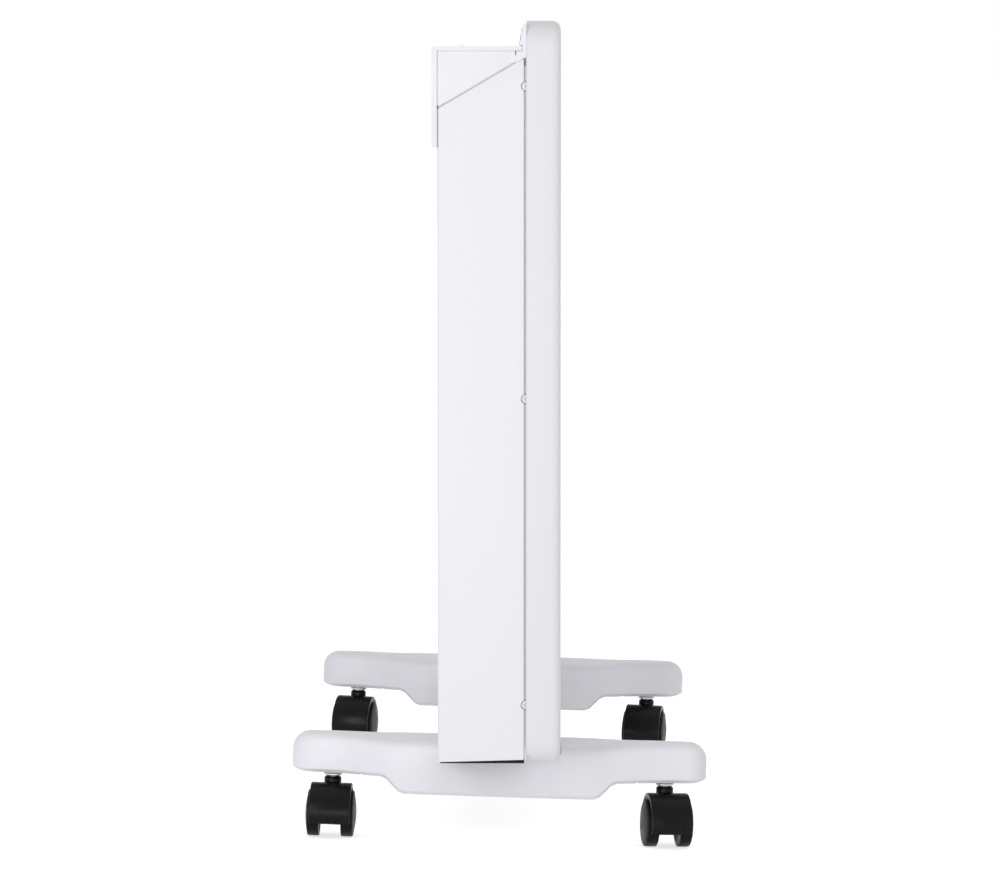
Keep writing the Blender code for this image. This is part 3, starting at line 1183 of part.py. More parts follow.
def foot_stations():
    """Gives the depths of the foot's sections, from one end to the other."""
    nose = FOOT_LENGTH / 2 - FOOT_NOSE_RADIUS
    ends = [nose + FOOT_NOSE_RADIUS * math.sin(NOSE_END_ANGLE * step / CORNER_STEPS)
            for step in range(CORNER_STEPS + 1)]
    sweep = [FOOT_CENTRE_HALF + FOOT_SWEEP * step / FOOT_STEPS for step in range(FOOT_STEPS + 1)]
    start = sweep[-1]
    arm = [start + (nose - start) * step / FOOT_STEPS for step in range(1, FOOT_STEPS)]
    half = [FOOT_TAPER_START, *sweep, *arm, *ends]
    return [-y for y in reversed(half)] + half


def make_foot(name, x, material):
    """Moulded cross foot with a saddle, sockets for two casters, pockets below and two screw holes."""
    foot = node(name, loft([foot_ring(y) for y in foot_stations()]), material)
    foot.location = (x, 0, 0)
    wide = FOOT_CENTRE_WIDTH / 2 + OVERRUN
    saddle_y = (PANEL_FRONT_Y - SADDLE_CLEARANCE, CASING_REAR_Y + SADDLE_CLEARANCE)
    cut(foot, leant(box((-wide, wide), saddle_y, (SADDLE_Z, FOOT_TOP_Z + FOOT_TOP_EDGE))))
    for side in (-1, 1):
        socket = (0, side * CASTER_Y)
        cut(foot, rod((*socket, ARM_BOTTOM_Z - OVERRUN), (*socket, COLLAR_TOP_Z + STEM_THREAD_LENGTH + CLEARANCE),
                      STEM_THREAD_RADIUS + CLEARANCE, ROUND_STEPS))
        half = foot_half_width(POCKET_DISTANCE) - POCKET_WALL
        span = sorted((side * (POCKET_DISTANCE - POCKET_LENGTH / 2),
                       side * (POCKET_DISTANCE + POCKET_LENGTH / 2)))
        cut(foot, edged_box((-half, half), span, (FOOT_BOTTOM_Z - OVERRUN, ARM_BOTTOM_Z + POCKET_DEPTH),
                            FOOT_BOTTOM_EDGE))
    for y in foot_screw_depths():
        seat = SADDLE_Z - FOOT_SCREW_SEAT
        well = rod((0, y, FOOT_BOTTOM_Z - FOOT_TOP_EDGE), (0, y, seat), FOOT_SCREW_HEAD_RADIUS + CLEARANCE,
                   ROUND_STEPS)
        hole = rod((0, y, seat - OVERRUN), (0, y, SADDLE_Z + OVERRUN), FOOT_SCREW_RADIUS + CLEARANCE)
        cut(foot, leant(well))
        cut(foot, leant(hole))
    return foot


def make_foot_screws(material):
    """Screws that hold each foot to the body, sunk in the foot's underside."""
    seat = SADDLE_Z - FOOT_SCREW_SEAT - CLEARANCE
    bottom = seat - FOOT_SCREW_HEAD_HEIGHT
    edge = FOOT_SCREW_HEAD_HEIGHT / 4
    for side_name, x in (("left", -FOOT_X), ("right", FOOT_X)):
        for place, y in zip(("front", "rear"), foot_screw_depths()):
            top = (PANEL_BOTTOM_Z + PANEL_SHEET if place == "front" else SILL_Z + CASING_SHEET) + FOOT_SCREW_END
            profile = [(0, top), (FOOT_SCREW_RADIUS, top), (FOOT_SCREW_RADIUS, seat), (FOOT_SCREW_HEAD_RADIUS, seat),
                       (FOOT_SCREW_HEAD_RADIUS, bottom + edge), (FOOT_SCREW_HEAD_RADIUS - edge, bottom),
                       (0, bottom)]
            screw = turned(profile, Matrix.Translation((x, y, 0)), SMALL_STEPS)
            node(f"foot_screw_{side_name}_{place}", screw, material)


def stem_profile():
    """Gives the caster stem: a threaded end, a shoulder, a flange, a cone and a plain pin."""
    top = COLLAR_TOP_Z + STEM_THREAD_LENGTH
    edge = STEM_EDGE
    pin_end = COLLAR_BOTTOM_Z - STEM_PIN_LENGTH
    return [(0, top), (STEM_THREAD_RADIUS - edge, top), (STEM_THREAD_RADIUS, top - edge),
            (STEM_THREAD_RADIUS, COLLAR_TOP_Z), (STEM_SHOULDER_RADIUS, COLLAR_TOP_Z),
            (STEM_SHOULDER_RADIUS, FLANGE_TOP_Z), (STEM_FLANGE_RADIUS - edge, FLANGE_TOP_Z),
            (STEM_FLANGE_RADIUS, FLANGE_TOP_Z - edge), (STEM_FLANGE_RADIUS, FLANGE_BOTTOM_Z),
            (STEM_CONE_RADIUS, COLLAR_BOTTOM_Z), (STEM_PIN_RADIUS, COLLAR_BOTTOM_Z),
            (STEM_PIN_RADIUS, pin_end), (0, pin_end)]


def wheel_profile():
    """Gives a wheel's section, bored for the axle. Its outer side is up."""
    inner = WHEEL_INNER_GAP / 2
    outer = inner + WHEEL_WIDTH
    bore = AXLE_RADIUS + CLEARANCE
    edge = WHEEL_TREAD_EDGE
    rim = WHEEL_RADIUS - WHEEL_RIM_WALL
    hub = WHEEL_HUB_RADIUS
    face = [(bore, outer)]
    face += [(share * WHEEL_RADIUS, outer - WHEEL_DOME * share ** 2) for share in WHEEL_DOME_SHARES]
    return face + [(WHEEL_RADIUS - edge, outer - WHEEL_DOME), (WHEEL_RADIUS, outer - WHEEL_DOME - edge),
                   (WHEEL_RADIUS, inner), (rim, inner), (hub, inner + WHEEL_INNER_DISH),
                   (bore, inner + WHEEL_INNER_DISH)]


def caster_arc(radius, start, end, steps):
    """Gives an arc round the axle. The angle runs from straight up towards the trailing side."""
    points = []
    for step in range(steps + 1):
        angle = start + (end - start) * step / steps
        points.append((CASTER_TRAIL + radius * math.sin(angle), AXLE_Z + radius * math.cos(angle)))
    return points


def fender_band():
    """Makes the curved guard over both wheels, with its long edges rounded."""
    outline = caster_arc(FENDER_OUTER_RADIUS, FENDER_BACK_ANGLE, FENDER_FRONT_ANGLE, ROUND_STEPS)
    outline += caster_arc(FENDER_INNER_RADIUS, FENDER_FRONT_ANGLE, FENDER_BACK_ANGLE, ROUND_STEPS)
    shape = bmesh.new()
    shape.from_mesh(plate([outline], -FENDER_WIDTH / 2, FENDER_WIDTH / 2, FRONT))
    ends = [edge for edge in shape.edges
            if abs(edge.verts[0].co.y - edge.verts[1].co.y) < WELD
            and all((Vector((CASTER_TRAIL, 0, AXLE_Z)) - Vector((vert.co.x, 0, vert.co.z))).length
                    > FENDER_OUTER_RADIUS - FENDER_EDGE for vert in edge.verts)]
    bmesh.ops.bevel(shape, geom=ends, offset=FENDER_EDGE, segments=1, profile=ROUND_PROFILE, affect="EDGES")
    return mesh_from(shape, "fender")


def make_hood(name, material, axis):
    """Caster hood: a web between the wheels, a curved guard over them and a boss for the stem."""
    start = FENDER_BACK_ANGLE + WEB_END_ANGLE
    outline = caster_arc(FENDER_OUTER_RADIUS - FENDER_WALL / 2, start, FENDER_FRONT_ANGLE - WEB_END_ANGLE,
                         ROUND_STEPS)
    outline += caster_arc(WEB_HUB_RADIUS, WEB_HUB_START_ANGLE, 2 * math.pi + start, CORNER_STEPS * 2)
    hood = node(name, plate([outline], -WEB_WIDTH / 2, WEB_WIDTH / 2, FRONT), material, axis)
    join(hood, fender_band())
    root = HOOD_TOP_Z - NECK_ROOT
    boss = [(0, NECK_TOP_Z), (NECK_RADIUS - NECK_CHAMFER, NECK_TOP_Z), (NECK_RADIUS, NECK_TOP_Z - NECK_CHAMFER),
            (NECK_RADIUS, root), (0, root)]
    join(hood, turned(boss, PLAN, ROUND_STEPS))
    bore_end = COLLAR_BOTTOM_Z - STEM_PIN_LENGTH - CLEARANCE
    cut(hood, rod((0, 0, bore_end), (0, 0, NECK_TOP_Z + OVERRUN), STEM_PIN_RADIUS + CLEARANCE, ROUND_STEPS))
    wide = FENDER_WIDTH / 2 + OVERRUN
    cut(hood, rod((CASTER_TRAIL, -wide, AXLE_Z), (CASTER_TRAIL, wide, AXLE_Z), AXLE_RADIUS + CLEARANCE))
    return hood


def make_caster(place, x, y, yaw, finishes):
    """One twin-wheel caster, turned to where the photograph shows it."""
    axis = empty("caster_axis_" + place, (x, y, 0), yaw)
    node("caster_stem_" + place, turned(stem_profile(), PLAN, NOTCH_STEPS), finishes["zinc"], axis)
    make_hood("caster_hood_" + place, finishes["black"], axis)
    wheel_axis = empty("wheel_axis_" + place, (CASTER_TRAIL, 0, AXLE_Z), 0.0, axis)
    reach = WHEEL_INNER_GAP / 2 + WHEEL_WIDTH - CLEARANCE
    node("caster_axle_" + place, rod((0, -reach, 0), (0, reach, 0), AXLE_RADIUS), finishes["zinc"], wheel_axis)
    for side_name, side in (("a", -1), ("b", 1)):
        lay = Matrix.Rotation(-side * math.pi / 2, 4, "X")
        wheel = turned(wheel_profile(), lay, WHEEL_STEPS, closed=True)
        node(f"caster_wheel_{place}_{side_name}", wheel, finishes["tread"], wheel_axis)


def make_casters(finishes):
    """Four casters under the ends of the feet."""
    for place, x, y, yaw in (("left_rear", -FOOT_X, CASTER_Y, math.radians(178)),
                             ("left_front", -FOOT_X, -CASTER_Y, math.radians(190)),
                             ("right_rear", FOOT_X, CASTER_Y, math.radians(170)),
                             ("right_front", FOOT_X, -CASTER_Y, math.radians(172))):
        make_caster(place, x, y, yaw, finishes)


def make_wires(material):
    """Leads from the terminal block down to the element's two pins."""
    block_z = TERMINAL_Z - TERMINAL_HEIGHT / 2 + TERMINAL_HOLE_DEPTH - CLEARANCE
    block_y = SHIELD_FRONT_Y - CLEARANCE - TERMINAL_DEPTH / 2
    pitch = TERMINAL_LENGTH / TERMINAL_WAYS
    pin_x = ELEMENT_TUBE_HALF + ELEMENT_PIN_LENGTH + CLEARANCE
    left_x = TERMINAL_X - pitch
    right_x = TERMINAL_X + pitch
    drop = TERMINAL_HEIGHT
    turn_x = FRAME_INNER_HALF - FRAME_FLANGE
    tail = WIRE_RADIUS * 2
    head = [(block_y, block_z), (block_y, block_z - drop / 2), (block_y, block_z - drop)]
    foot = [(ELEMENT_CENTRE_Y, ELEMENT_Z)] * 3
    left = [(left_x, *place) for place in head]
    left += [((left_x - turn_x) / 2, (block_y + ELEMENT_CENTRE_Y) / 2, (block_z + ELEMENT_Z) / 2),
             (-turn_x, ELEMENT_CENTRE_Y, ELEMENT_Z + drop)]
    left += [(-pin_x - tail * index, *place) for index, place in zip((2, 1, 0), foot)]
    low_z = (block_z + ELEMENT_Z) / 2
    right = [(right_x, *place) for place in head]
    right += [(right_x + drop, block_y, low_z), (0, block_y, low_z), (turn_x - drop * 2, block_y, low_z),
              (turn_x - drop / 2, block_y, low_z - drop), (turn_x, ELEMENT_CENTRE_Y, ELEMENT_Z + drop)]
    right += [(pin_x + tail * index, *place) for index, place in zip((2, 1, 0), foot)]
    node("wire_left", wire(left, WIRE_RADIUS, WIRE_STEPS), material)
    node("wire_right", wire(right, WIRE_RADIUS, WIRE_STEPS), material)


def main():
    """Builds the whole heater."""
    clear_scene()
    white = finish("white_enamel", (0.86, 0.87, 0.89), 0.38)
    moulded = finish("white_plastic", (0.82, 0.82, 0.84), 0.5)
    black = finish("black_plastic", (0.02, 0.02, 0.022), 0.42)
    tread = finish("black_tread", (0.018, 0.018, 0.02), 0.5)
    zinc = finish("zinc", (0.62, 0.62, 0.60), 0.3, 1.0)
    steel = finish("galvanised_steel", (0.58, 0.60, 0.61), 0.4, 1.0)
    fins = finish("aluminium", (0.72, 0.73, 0.74), 0.35, 1.0)
    sheath = finish("element_sheath", (0.30, 0.30, 0.31), 0.45, 1.0)
    lens = finish("lens", (0.75, 0.16, 0.05), 0.15)
    lead = finish("lead_sleeve", (0.75, 0.74, 0.70), 0.6)
    make_foot("foot_left", -FOOT_X, moulded)
    make_foot("foot_right", FOOT_X, moulded)
    make_casters({"black": black, "tread": tread, "zinc": zinc})
    standing = set(bpy.data.objects)
    make_front_panel(white)
    make_rear_casing(white)
    make_side_frames(steel)
    make_side_screws(zinc)
    make_heat_shield(steel)
    make_element(fins, sheath, steel)
    make_thermal_cutout(black)
    make_tip_over_switch(black)
    make_terminal_block(moulded)
    make_cord_gland(black)
    make_outlet_grille(moulded)
    make_inlet_grille(black)
    make_control_housing(moulded)
    make_control_cover(moulded)
    make_switches(black, moulded)
    make_indicator_lens(lens)
    make_thermostat(black, moulded)
    make_foot_screws(zinc)
    make_wires(lead)
    lean_back(standing)


main()
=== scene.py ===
"""Looks of the convector heater: materials, fine pieces, floor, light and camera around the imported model."""
import json
import math

import bmesh
import bpy
from mathutils import Matrix, Vector
from mathutils.bvhtree import BVHTree


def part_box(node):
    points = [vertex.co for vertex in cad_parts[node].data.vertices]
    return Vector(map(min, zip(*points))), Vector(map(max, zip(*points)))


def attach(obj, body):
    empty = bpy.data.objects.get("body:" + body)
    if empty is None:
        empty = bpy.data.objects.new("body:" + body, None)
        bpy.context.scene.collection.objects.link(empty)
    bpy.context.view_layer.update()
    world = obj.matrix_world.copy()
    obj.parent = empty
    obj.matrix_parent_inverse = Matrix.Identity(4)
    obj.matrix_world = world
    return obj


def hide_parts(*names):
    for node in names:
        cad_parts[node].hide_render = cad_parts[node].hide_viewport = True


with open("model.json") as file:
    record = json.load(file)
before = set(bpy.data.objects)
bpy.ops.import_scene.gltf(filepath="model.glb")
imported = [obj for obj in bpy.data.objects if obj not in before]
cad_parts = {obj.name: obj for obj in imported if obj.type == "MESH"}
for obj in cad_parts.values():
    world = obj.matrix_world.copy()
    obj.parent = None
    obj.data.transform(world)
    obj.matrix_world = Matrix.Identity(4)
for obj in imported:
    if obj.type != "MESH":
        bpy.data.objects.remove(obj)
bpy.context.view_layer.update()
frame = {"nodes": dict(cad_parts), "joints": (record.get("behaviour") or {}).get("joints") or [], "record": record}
NODES = frame["nodes"]

# Camera
CAMERA_PLACE = (-3.369, -0.0148, 0.4054)
CAMERA_PITCH = math.radians(-3.18)
CAMERA_YAW = math.radians(0.27)
CAMERA_LENS = 198.0
SENSOR_WIDTH = 36.0

# The body leans back on its feet, about the saddles
LEAN = math.radians(1.8)
SADDLE_Z = 0.0523
LEANT = (Matrix.Translation((0.0, 0.0, SADDLE_Z)) @ Matrix.Rotation(-LEAN, 4, "X")
         @ Matrix.Translation((0.0, 0.0, -SADDLE_Z)))

# What the world and the floor give as light, and the glow that takes the floor to white in the picture
WORLD_LIGHT = 0.555
FLOOR_LIGHT = 0.13
FLOOR_GLOW = 0.64
FLOOR_TONE = 0.9
FLOOR_SIZE = 40.0

# Lamps: name, place, target, size and power
MIDDLE = (0.0, 0.0, 0.23)
FEET = (0.0, 0.0, 0.06)
LAMPS = (
    ("key", (-1.62, 0.74, 0.49), MIDDLE, (0.16, 0.9), 4.6),
    ("low", (-2.2, 0.1, 0.27), FEET, (1.1, 0.48), 4.4),
    ("fill", (-1.5, -1.5, 0.6), MIDDLE, (1.2, 1.2), 1.5),
)

# Welding, the angle of a sharp edge, and edge radii by node or else by material slot
WELD = 1e-5
AXIS_LIMIT = 1e-7
SHARP_ANGLE = math.radians(28)
EDGES_BY_NODE = {
    "front_panel": 0.0, "rear_casing": 0.0002, "outlet_grille": 0.0001, "foot_": 0.0003,
    "heating_element": 0.0, "control_cover": 0.0,
}
EDGES_BY_SLOT = {
    "enamel": 0.0002, "white_plastic": 0.0003, "black_plastic": 0.0003, "wheel": 0.0002, "zinc": 0.00015,
    "galvanised": 0.0, "fins": 0.0, "sheath": 0.0, "lens": 0.0002, "sleeve": 0.0,
}

# Colours as written on the surfaces, the front panel's darkened as painted shade, and the part of a noise that
# their slow changes use
ENAMEL_COLOUR = (0.865, 0.855, 0.893)
# The front panel's enamel is darker than the casing's as painted shade, spread evenly over the panel, for the
# shade on its curved top and bottom ends
PANEL_SHADED_COLOUR = (0.835, 0.826, 0.86)
WHITE_COLOUR = (0.895, 0.887, 0.936)
BLACK_COLOUR = (0.0032, 0.0027, 0.0034)
ZINC_COLOUR = (0.62, 0.62, 0.635)
INK_COLOUR = (0.05, 0.05, 0.056)
NOISE_BAND = (0.3, 0.7)

# Casters: the axle lies CASTER_TRAIL from the stem, on the side to which the caster is turned
CASTER_TRAIL = 0.0085
WHEEL_RADIUS = 0.01325
WHEEL_INNER = 0.0063
WHEEL_OUTER = 0.0145
WHEEL_RIM = 0.0131
DOME_RADIUS = 0.0115
WHEEL_BORE = 0.0017
WHEEL_BORE_END = 0.01427
WHEEL_STEPS = 72
HOOD_RADII = (0.01475, 0.0173)
HOOD_HALF_WIDTH = 0.01165
HOOD_ANGLES = (math.radians(-52), math.radians(104.5))
HOOD_EDGE = 0.0006
HOOD_STEPS = 48
HOOD_SOFT_EDGE = 0.0002
WEB_HALF = 0.0058
WEB_HUB = 0.0068
WEB_HUB_START = math.radians(150)
WEB_SETBACK = 0.05
NECK_FOOT = 0.016
NECK_TOP = 0.0335
NECK_RADIUS = 0.0049
PIN_RADIUS = 0.003
PIN_FLOOR = 0.0186
PIN_CLEARANCE = 0.0002
AXLE_RADIUS = 0.0016
OVERRUN = 0.02

# Controls and their print, in the upright frame of the body
KNOB_PLACE = (-0.16, 0.0125)
ROCKERS = {"low": -0.278, "high": -0.248}
ROCKER_Y = 0.0125
POWER_PRINT_Y = -0.0080
PRINT_START_Z = 0.47
INK = 0.00003
STROKE_HALF = 0.0002
FIGURE_STROKE_HALF = 0.00016
FIGURE_CELL = 0.00062
DIAL_STEPS = 7
DIAL_STEP = 45
TICK_RADIUS = 0.0178
TICK_HALF = 0.0006
FIGURE_RADIUS = 0.0207
POWER_BAR_PITCH = 0.0011
POWER_BAR_HALF = 0.0014
MARK_REACH = 0.0066
MARK_SIZE = 0.0012
POINTER = ((-0.16042, -0.15958), (0.0228, 0.0268), (0.45055, 0.45075))

# Side screws, foot screws, the casing's slope, seam flanges and tongues of the control box
SIDE_SCREW_PLACE = (0.3172, -0.0146)
SIDE_SCREW_HEIGHTS = (0.4293, 0.2559, 0.0853)
SIDE_RECESS = (0.00032, 0.00135, 0.0008, 0.0012)
FOOT_SCREW_X = 0.24
FOOT_SCREW_LENGTH = 0.0181
FOOT_SCREW_HEAD = 0.01
FOOT_RECESS = (0.0005, 0.0024, 0.0016, 0.0)
RECESS_TAPER = 0.55
SLOPE_FRONT_Y = -0.0136
SLOPE_TOP_Z = 0.4452
SLOPE_FALL = 0.0279
SLOPE_RUN = 0.0479
FLANGE_X = (0.3165, 0.3177)
FLANGE_Y = (-0.01506, -0.01364)
FLANGE_SPANS = ((0.0542, 0.0822), (0.0884, 0.2528), (0.2590, 0.4262), (0.4324, 0.4405))
TONGUE_END = -0.3100


# Node trees

def material(name, colour, roughness, metallic=0.0, coat=0.0, specular=0.5):
    """A new material with its node tree and its shader."""
    made = bpy.data.materials.new(name)
    made.use_nodes = True
    shader = made.node_tree.nodes["Principled BSDF"]
    shader.inputs["Base Color"].default_value = (*colour, 1.0)
    shader.inputs["Roughness"].default_value = roughness
    shader.inputs["Metallic"].default_value = metallic
    shader.inputs["Coat Weight"].default_value = coat
    shader.inputs["Specular IOR Level"].default_value = specular
    made.diffuse_color = (*colour, 1.0)
    return made, made.node_tree, shader


def coordinates(tree, stretch=(1.0, 1.0, 1.0)):
    """Object coordinates, which lie in metres, with a stretch along each axis."""
    place = tree.nodes.new("ShaderNodeTexCoord")
    mapping = tree.nodes.new("ShaderNodeMapping")
    mapping.inputs["Scale"].default_value = stretch
    tree.links.new(place.outputs["Object"], mapping.inputs["Vector"])
    return mapping.outputs["Vector"]


def noise(tree, vector, scale, detail=3.0, roughness=0.5, distortion=0.0):
    """Values of a noise, with its scale in cells per metre."""
    made = tree.nodes.new("ShaderNodeTexNoise")
    made.inputs["Scale"].default_value = scale
    made.inputs["Detail"].default_value = detail
    made.inputs["Roughness"].default_value = roughness
    made.inputs["Distortion"].default_value = distortion
    tree.links.new(vector, made.inputs["Vector"])
    return made.outputs["Fac"]


def spread(tree, value, low, high, start=0.0, end=1.0):
    """value from start..end mapped to low..high."""
    made = tree.nodes.new("ShaderNodeMapRange")
    made.inputs["From Min"].default_value = start
    made.inputs["From Max"].default_value = end
    made.inputs["To Min"].default_value = low
    made.inputs["To Max"].default_value = high
    tree.links.new(value, made.inputs["Value"])
    return made.outputs["Result"]


def blend_colours(tree, value, low, high):
    """The colour low where the value is 0, and high where it is 1."""
    made = tree.nodes.new("ShaderNodeMix")
    made.data_type = "RGBA"
    made.inputs["A"].default_value = (*low, 1.0)
    made.inputs["B"].default_value = (*high, 1.0)
    tree.links.new(value, made.inputs["Factor"])
    return made.outputs["Result"]


def bump(tree, shader, height, depth, after=None):
    """Fine relief of a depth in metres, on top of an earlier one where that is given."""
    made = tree.nodes.new("ShaderNodeBump")
    made.inputs["Strength"].default_value = 1.0
    made.inputs["Distance"].default_value = depth
    tree.links.new(height, made.inputs["Height"])
    if after is not None:
        tree.links.new(after, made.inputs["Normal"])
    tree.links.new(made.outputs["Normal"], shader.inputs["Normal"])
    return made.outputs["Normal"]


def scaled(colour, share):
    """A colour times a share."""
    return tuple(channel * share for channel in colour)


def powder_coat(name, colour, roughness=0.4):
    """Powder-coated sheet: a faint orange-peel, slow changes of tone and of gloss."""
    made, tree, shader = material(name, colour, roughness)
    vector = coordinates(tree)
    slow = noise(tree, vector, 9.0, 4.0)
    peel = noise(tree, vector, 620.0, 2.0, 0.4)
    fine = noise(tree, vector, 2600.0, 2.0)
    clouds = spread(tree, slow, 0.0, 1.0, *NOISE_BAND)
    tree.links.new(blend_colours(tree, clouds, scaled(colour, 0.985), colour), shader.inputs["Base Color"])
    rough = spread(tree, slow, roughness - 0.05, roughness + 0.06, *NOISE_BAND)
    tree.links.new(rough, shader.inputs["Roughness"])
    first = bump(tree, shader, peel, 0.00006)
    bump(tree, shader, fine, 0.00001, after=first)
    return made


def moulded(name, colour, roughness=0.42, grain=1500.0, depth=0.00003, wear=0.0, specular=0.5):
    """Injection-moulded plastic: spark-eroded grain, flow lines in the tone, rubbed spots."""
    made, tree, shader = material(name, colour, roughness, specular=specular)
    vector = coordinates(tree)
    slow = noise(tree, vector, 22.0, 4.0, 0.55, 0.4)
    spots = noise(tree, vector, 160.0, 5.0, 0.6)
    fine = noise(tree, vector, grain, 3.0)
    clouds = spread(tree, slow, 0.0, 1.0, *NOISE_BAND)
    tree.links.new(blend_colours(tree, clouds, scaled(colour, 0.95), colour), shader.inputs["Base Color"])
    tree.links.new(spread(tree, spots, roughness - 0.04 - wear, roughness + 0.08, 0.35, 0.65),
                   shader.inputs["Roughness"])
    bump(tree, shader, fine, depth)
    return made


def plated(name, colour, roughness=0.28, grooves=(1.0, 1.0, 1.0), scale=900.0, depth=0.00002):
    """Plated or bare metal: fine tool marks that run one way, and cloudy changes of gloss."""
    made, tree, shader = material(name, colour, roughness, metallic=1.0)
    vector = coordinates(tree, grooves)
    slow = noise(tree, coordinates(tree), 130.0, 4.0)
    marks = noise(tree, vector, scale, 3.0, 0.6)
    clouds = spread(tree, slow, 0.0, 1.0, *NOISE_BAND)
    tree.links.new(blend_colours(tree, clouds, scaled(colour, 0.88), colour), shader.inputs["Base Color"])
    rough = spread(tree, slow, roughness - 0.06, roughness + 0.1, *NOISE_BAND)
    tree.links.new(rough, shader.inputs["Roughness"])
    bump(tree, shader, marks, depth)
    return made


def spangled(name, colour, roughness=0.38):
    """Hot-dip galvanised sheet: crystals a few millimetres across, each with its own tone and gloss."""
    made, tree, shader = material(name, colour, roughness, metallic=1.0)
    vector = coordinates(tree)
    cells = tree.nodes.new("ShaderNodeTexVoronoi")
    cells.inputs["Scale"].default_value = 130.0
    tree.links.new(vector, cells.inputs["Vector"])
    parts = tree.nodes.new("ShaderNodeSeparateColor")
    tree.links.new(cells.outputs["Color"], parts.inputs["Color"])
    tree.links.new(blend_colours(tree, parts.outputs["Red"], scaled(colour, 0.78), colour),
                   shader.inputs["Base Color"])
    tree.links.new(spread(tree, parts.outputs["Green"], roughness - 0.08, roughness + 0.12),
                   shader.inputs["Roughness"])
    bump(tree, shader, noise(tree, vector, 700.0), 0.00001)
    return made


def clear_amber(name):
    """Clear tinted plastic of a lens."""
    made, tree, shader = material(name, (0.85, 0.22, 0.04), 0.12, coat=0.6)
    shader.inputs["Transmission Weight"].default_value = 0.35
    shader.inputs["IOR"].default_value = 1.49
    ripple = noise(tree, coordinates(tree), 500.0, 2.0)
    tones = blend_colours(tree, ripple, (0.78, 0.16, 0.03), (0.9, 0.28, 0.06))
    tree.links.new(tones, shader.inputs["Base Color"])
    bump(tree, shader, ripple, 0.00005)
    return made


def sleeve(name):
    """Woven glass-fibre sleeve: a tight diagonal braid."""
    made, tree, shader = material(name, (0.74, 0.73, 0.69), 0.7)
    wave = tree.nodes.new("ShaderNodeTexWave")
    wave.inputs["Scale"].default_value = 900.0
    wave.inputs["Distortion"].default_value = 1.5
    wave.wave_type = "BANDS"
    wave.bands_direction = "DIAGONAL"
    tree.links.new(coordinates(tree), wave.inputs["Vector"])
    tree.links.new(blend_colours(tree, wave.outputs["Fac"], (0.6, 0.59, 0.55), (0.8, 0.79, 0.75)),
                   shader.inputs["Base Color"])
    bump(tree, shader, wave.outputs["Fac"], 0.0001)
    return made


ENAMEL = powder_coat("powder_coat", ENAMEL_COLOUR)
WHITE = moulded("white_moulding", WHITE_COLOUR)
PANEL_SHADED = powder_coat("powder_coat_panel_painted_shade", PANEL_SHADED_COLOUR)
BLACK = moulded("black_moulding", BLACK_COLOUR, 0.23, 1800.0, 0.00003, specular=0.15)
WHEEL = moulded("wheel_moulding", BLACK_COLOUR, 0.4, 1300.0, 0.00005, 0.06, specular=0.13)
# Grey plastic that is put behind the louvre's gaps as painted shade
PAINTED_SHADE_GREY = moulded("painted_shade_moulding", (0.33, 0.325, 0.34))
ZINC = plated("zinc_plate", ZINC_COLOUR, 0.16)
INKED = moulded("dial_ink", INK_COLOUR, 0.55, 2400.0, 0.00001)
GALVANISED = spangled("galvanised_sheet", (0.6, 0.62, 0.63))
FINS = plated("extruded_fins", (0.75, 0.76, 0.77), 0.34, (0.02, 1.0, 1.0), 1600.0, 0.00004)
SHEATH = plated("heated_sheath", (0.24, 0.2, 0.17), 0.45, (0.05, 1.0, 1.0), 900.0, 0.00003)
LENS = clear_amber("amber_lens")
SLEEVE = sleeve("woven_sleeve")
BY_SLOT = {
    "enamel": ENAMEL, "white_plastic": WHITE, "black_plastic": BLACK, "wheel": WHEEL, "zinc": ZINC,
    "galvanised": GALVANISED, "fins": FINS, "sheath": SHEATH, "lens": LENS, "sleeve": SLEEVE,
}


# Carried-over nodes: material, smooth shading and softened edges

def smoothing_group():
    """Joins the split corners of an imported mesh and shades it smooth, apart from its sharp edges."""
    group = bpy.data.node_groups.new("smooth_by_angle", "GeometryNodeTree")
    group.interface.new_socket(name="Geometry", in_out="INPUT", socket_type="NodeSocketGeometry")
    group.interface.new_socket(name="Geometry", in_out="OUTPUT", socket_type="NodeSocketGeometry")
    start = group.nodes.new("NodeGroupInput")
    end = group.nodes.new("NodeGroupOutput")
    joined = group.nodes.new("GeometryNodeMergeByDistance")
    joined.inputs["Distance"].default_value = WELD
    plain = group.nodes.new("GeometryNodeSetMeshNormal")
    plain.mode = "SHARPNESS"
    plain.inputs["Remove Custom"].default_value = True
    faces = group.nodes.new("GeometryNodeSetShadeSmooth")
    faces.domain = "FACE"
    edges = group.nodes.new("GeometryNodeSetShadeSmooth")
    edges.domain = "EDGE"
    edges.inputs["Shade Smooth"].default_value = False
    angle = group.nodes.new("GeometryNodeInputMeshEdgeAngle")
    sharp = group.nodes.new("FunctionNodeCompare")
    sharp.operation = "GREATER_THAN"
    sharp.inputs["B"].default_value = SHARP_ANGLE
    group.links.new(angle.outputs["Unsigned Angle"], sharp.inputs["A"])
    group.links.new(sharp.outputs["Result"], edges.inputs["Selection"])
    flow = start.outputs["Geometry"]
    for step in (joined, plain, faces, edges):
        mesh_input = step.inputs.get("Geometry") or step.inputs["Mesh"]
        group.links.new(flow, mesh_input)
        flow = step.outputs[0]
    group.links.new(flow, end.inputs["Geometry"])
    return group


SMOOTHING = smoothing_group()


def dress(node, made, edge):
    """Gives a node its material, smooth shading and an edge radius."""
    mesh_object = NODES[node]
    if not mesh_object.material_slots:
        mesh_object.data.materials.append(made)
    for place in mesh_object.material_slots:
        place.material = made
    mesh_object.modifiers.new("smooth", "NODES").node_group = SMOOTHING
    if edge:
        soft = mesh_object.modifiers.new("edges", "BEVEL")
        soft.width = edge
        soft.segments = 2
        soft.limit_method = "ANGLE"
        soft.angle_limit = SHARP_ANGLE
        soft.harden_normals = True
        soft.use_clamp_overlap = True


def edge_radius(node, name):
    """The edge radius of a node, by its own name or else by its material slot."""
    for start, radius in EDGES_BY_NODE.items():
        if node.startswith(start):
            return radius
    return EDGES_BY_SLOT[name]


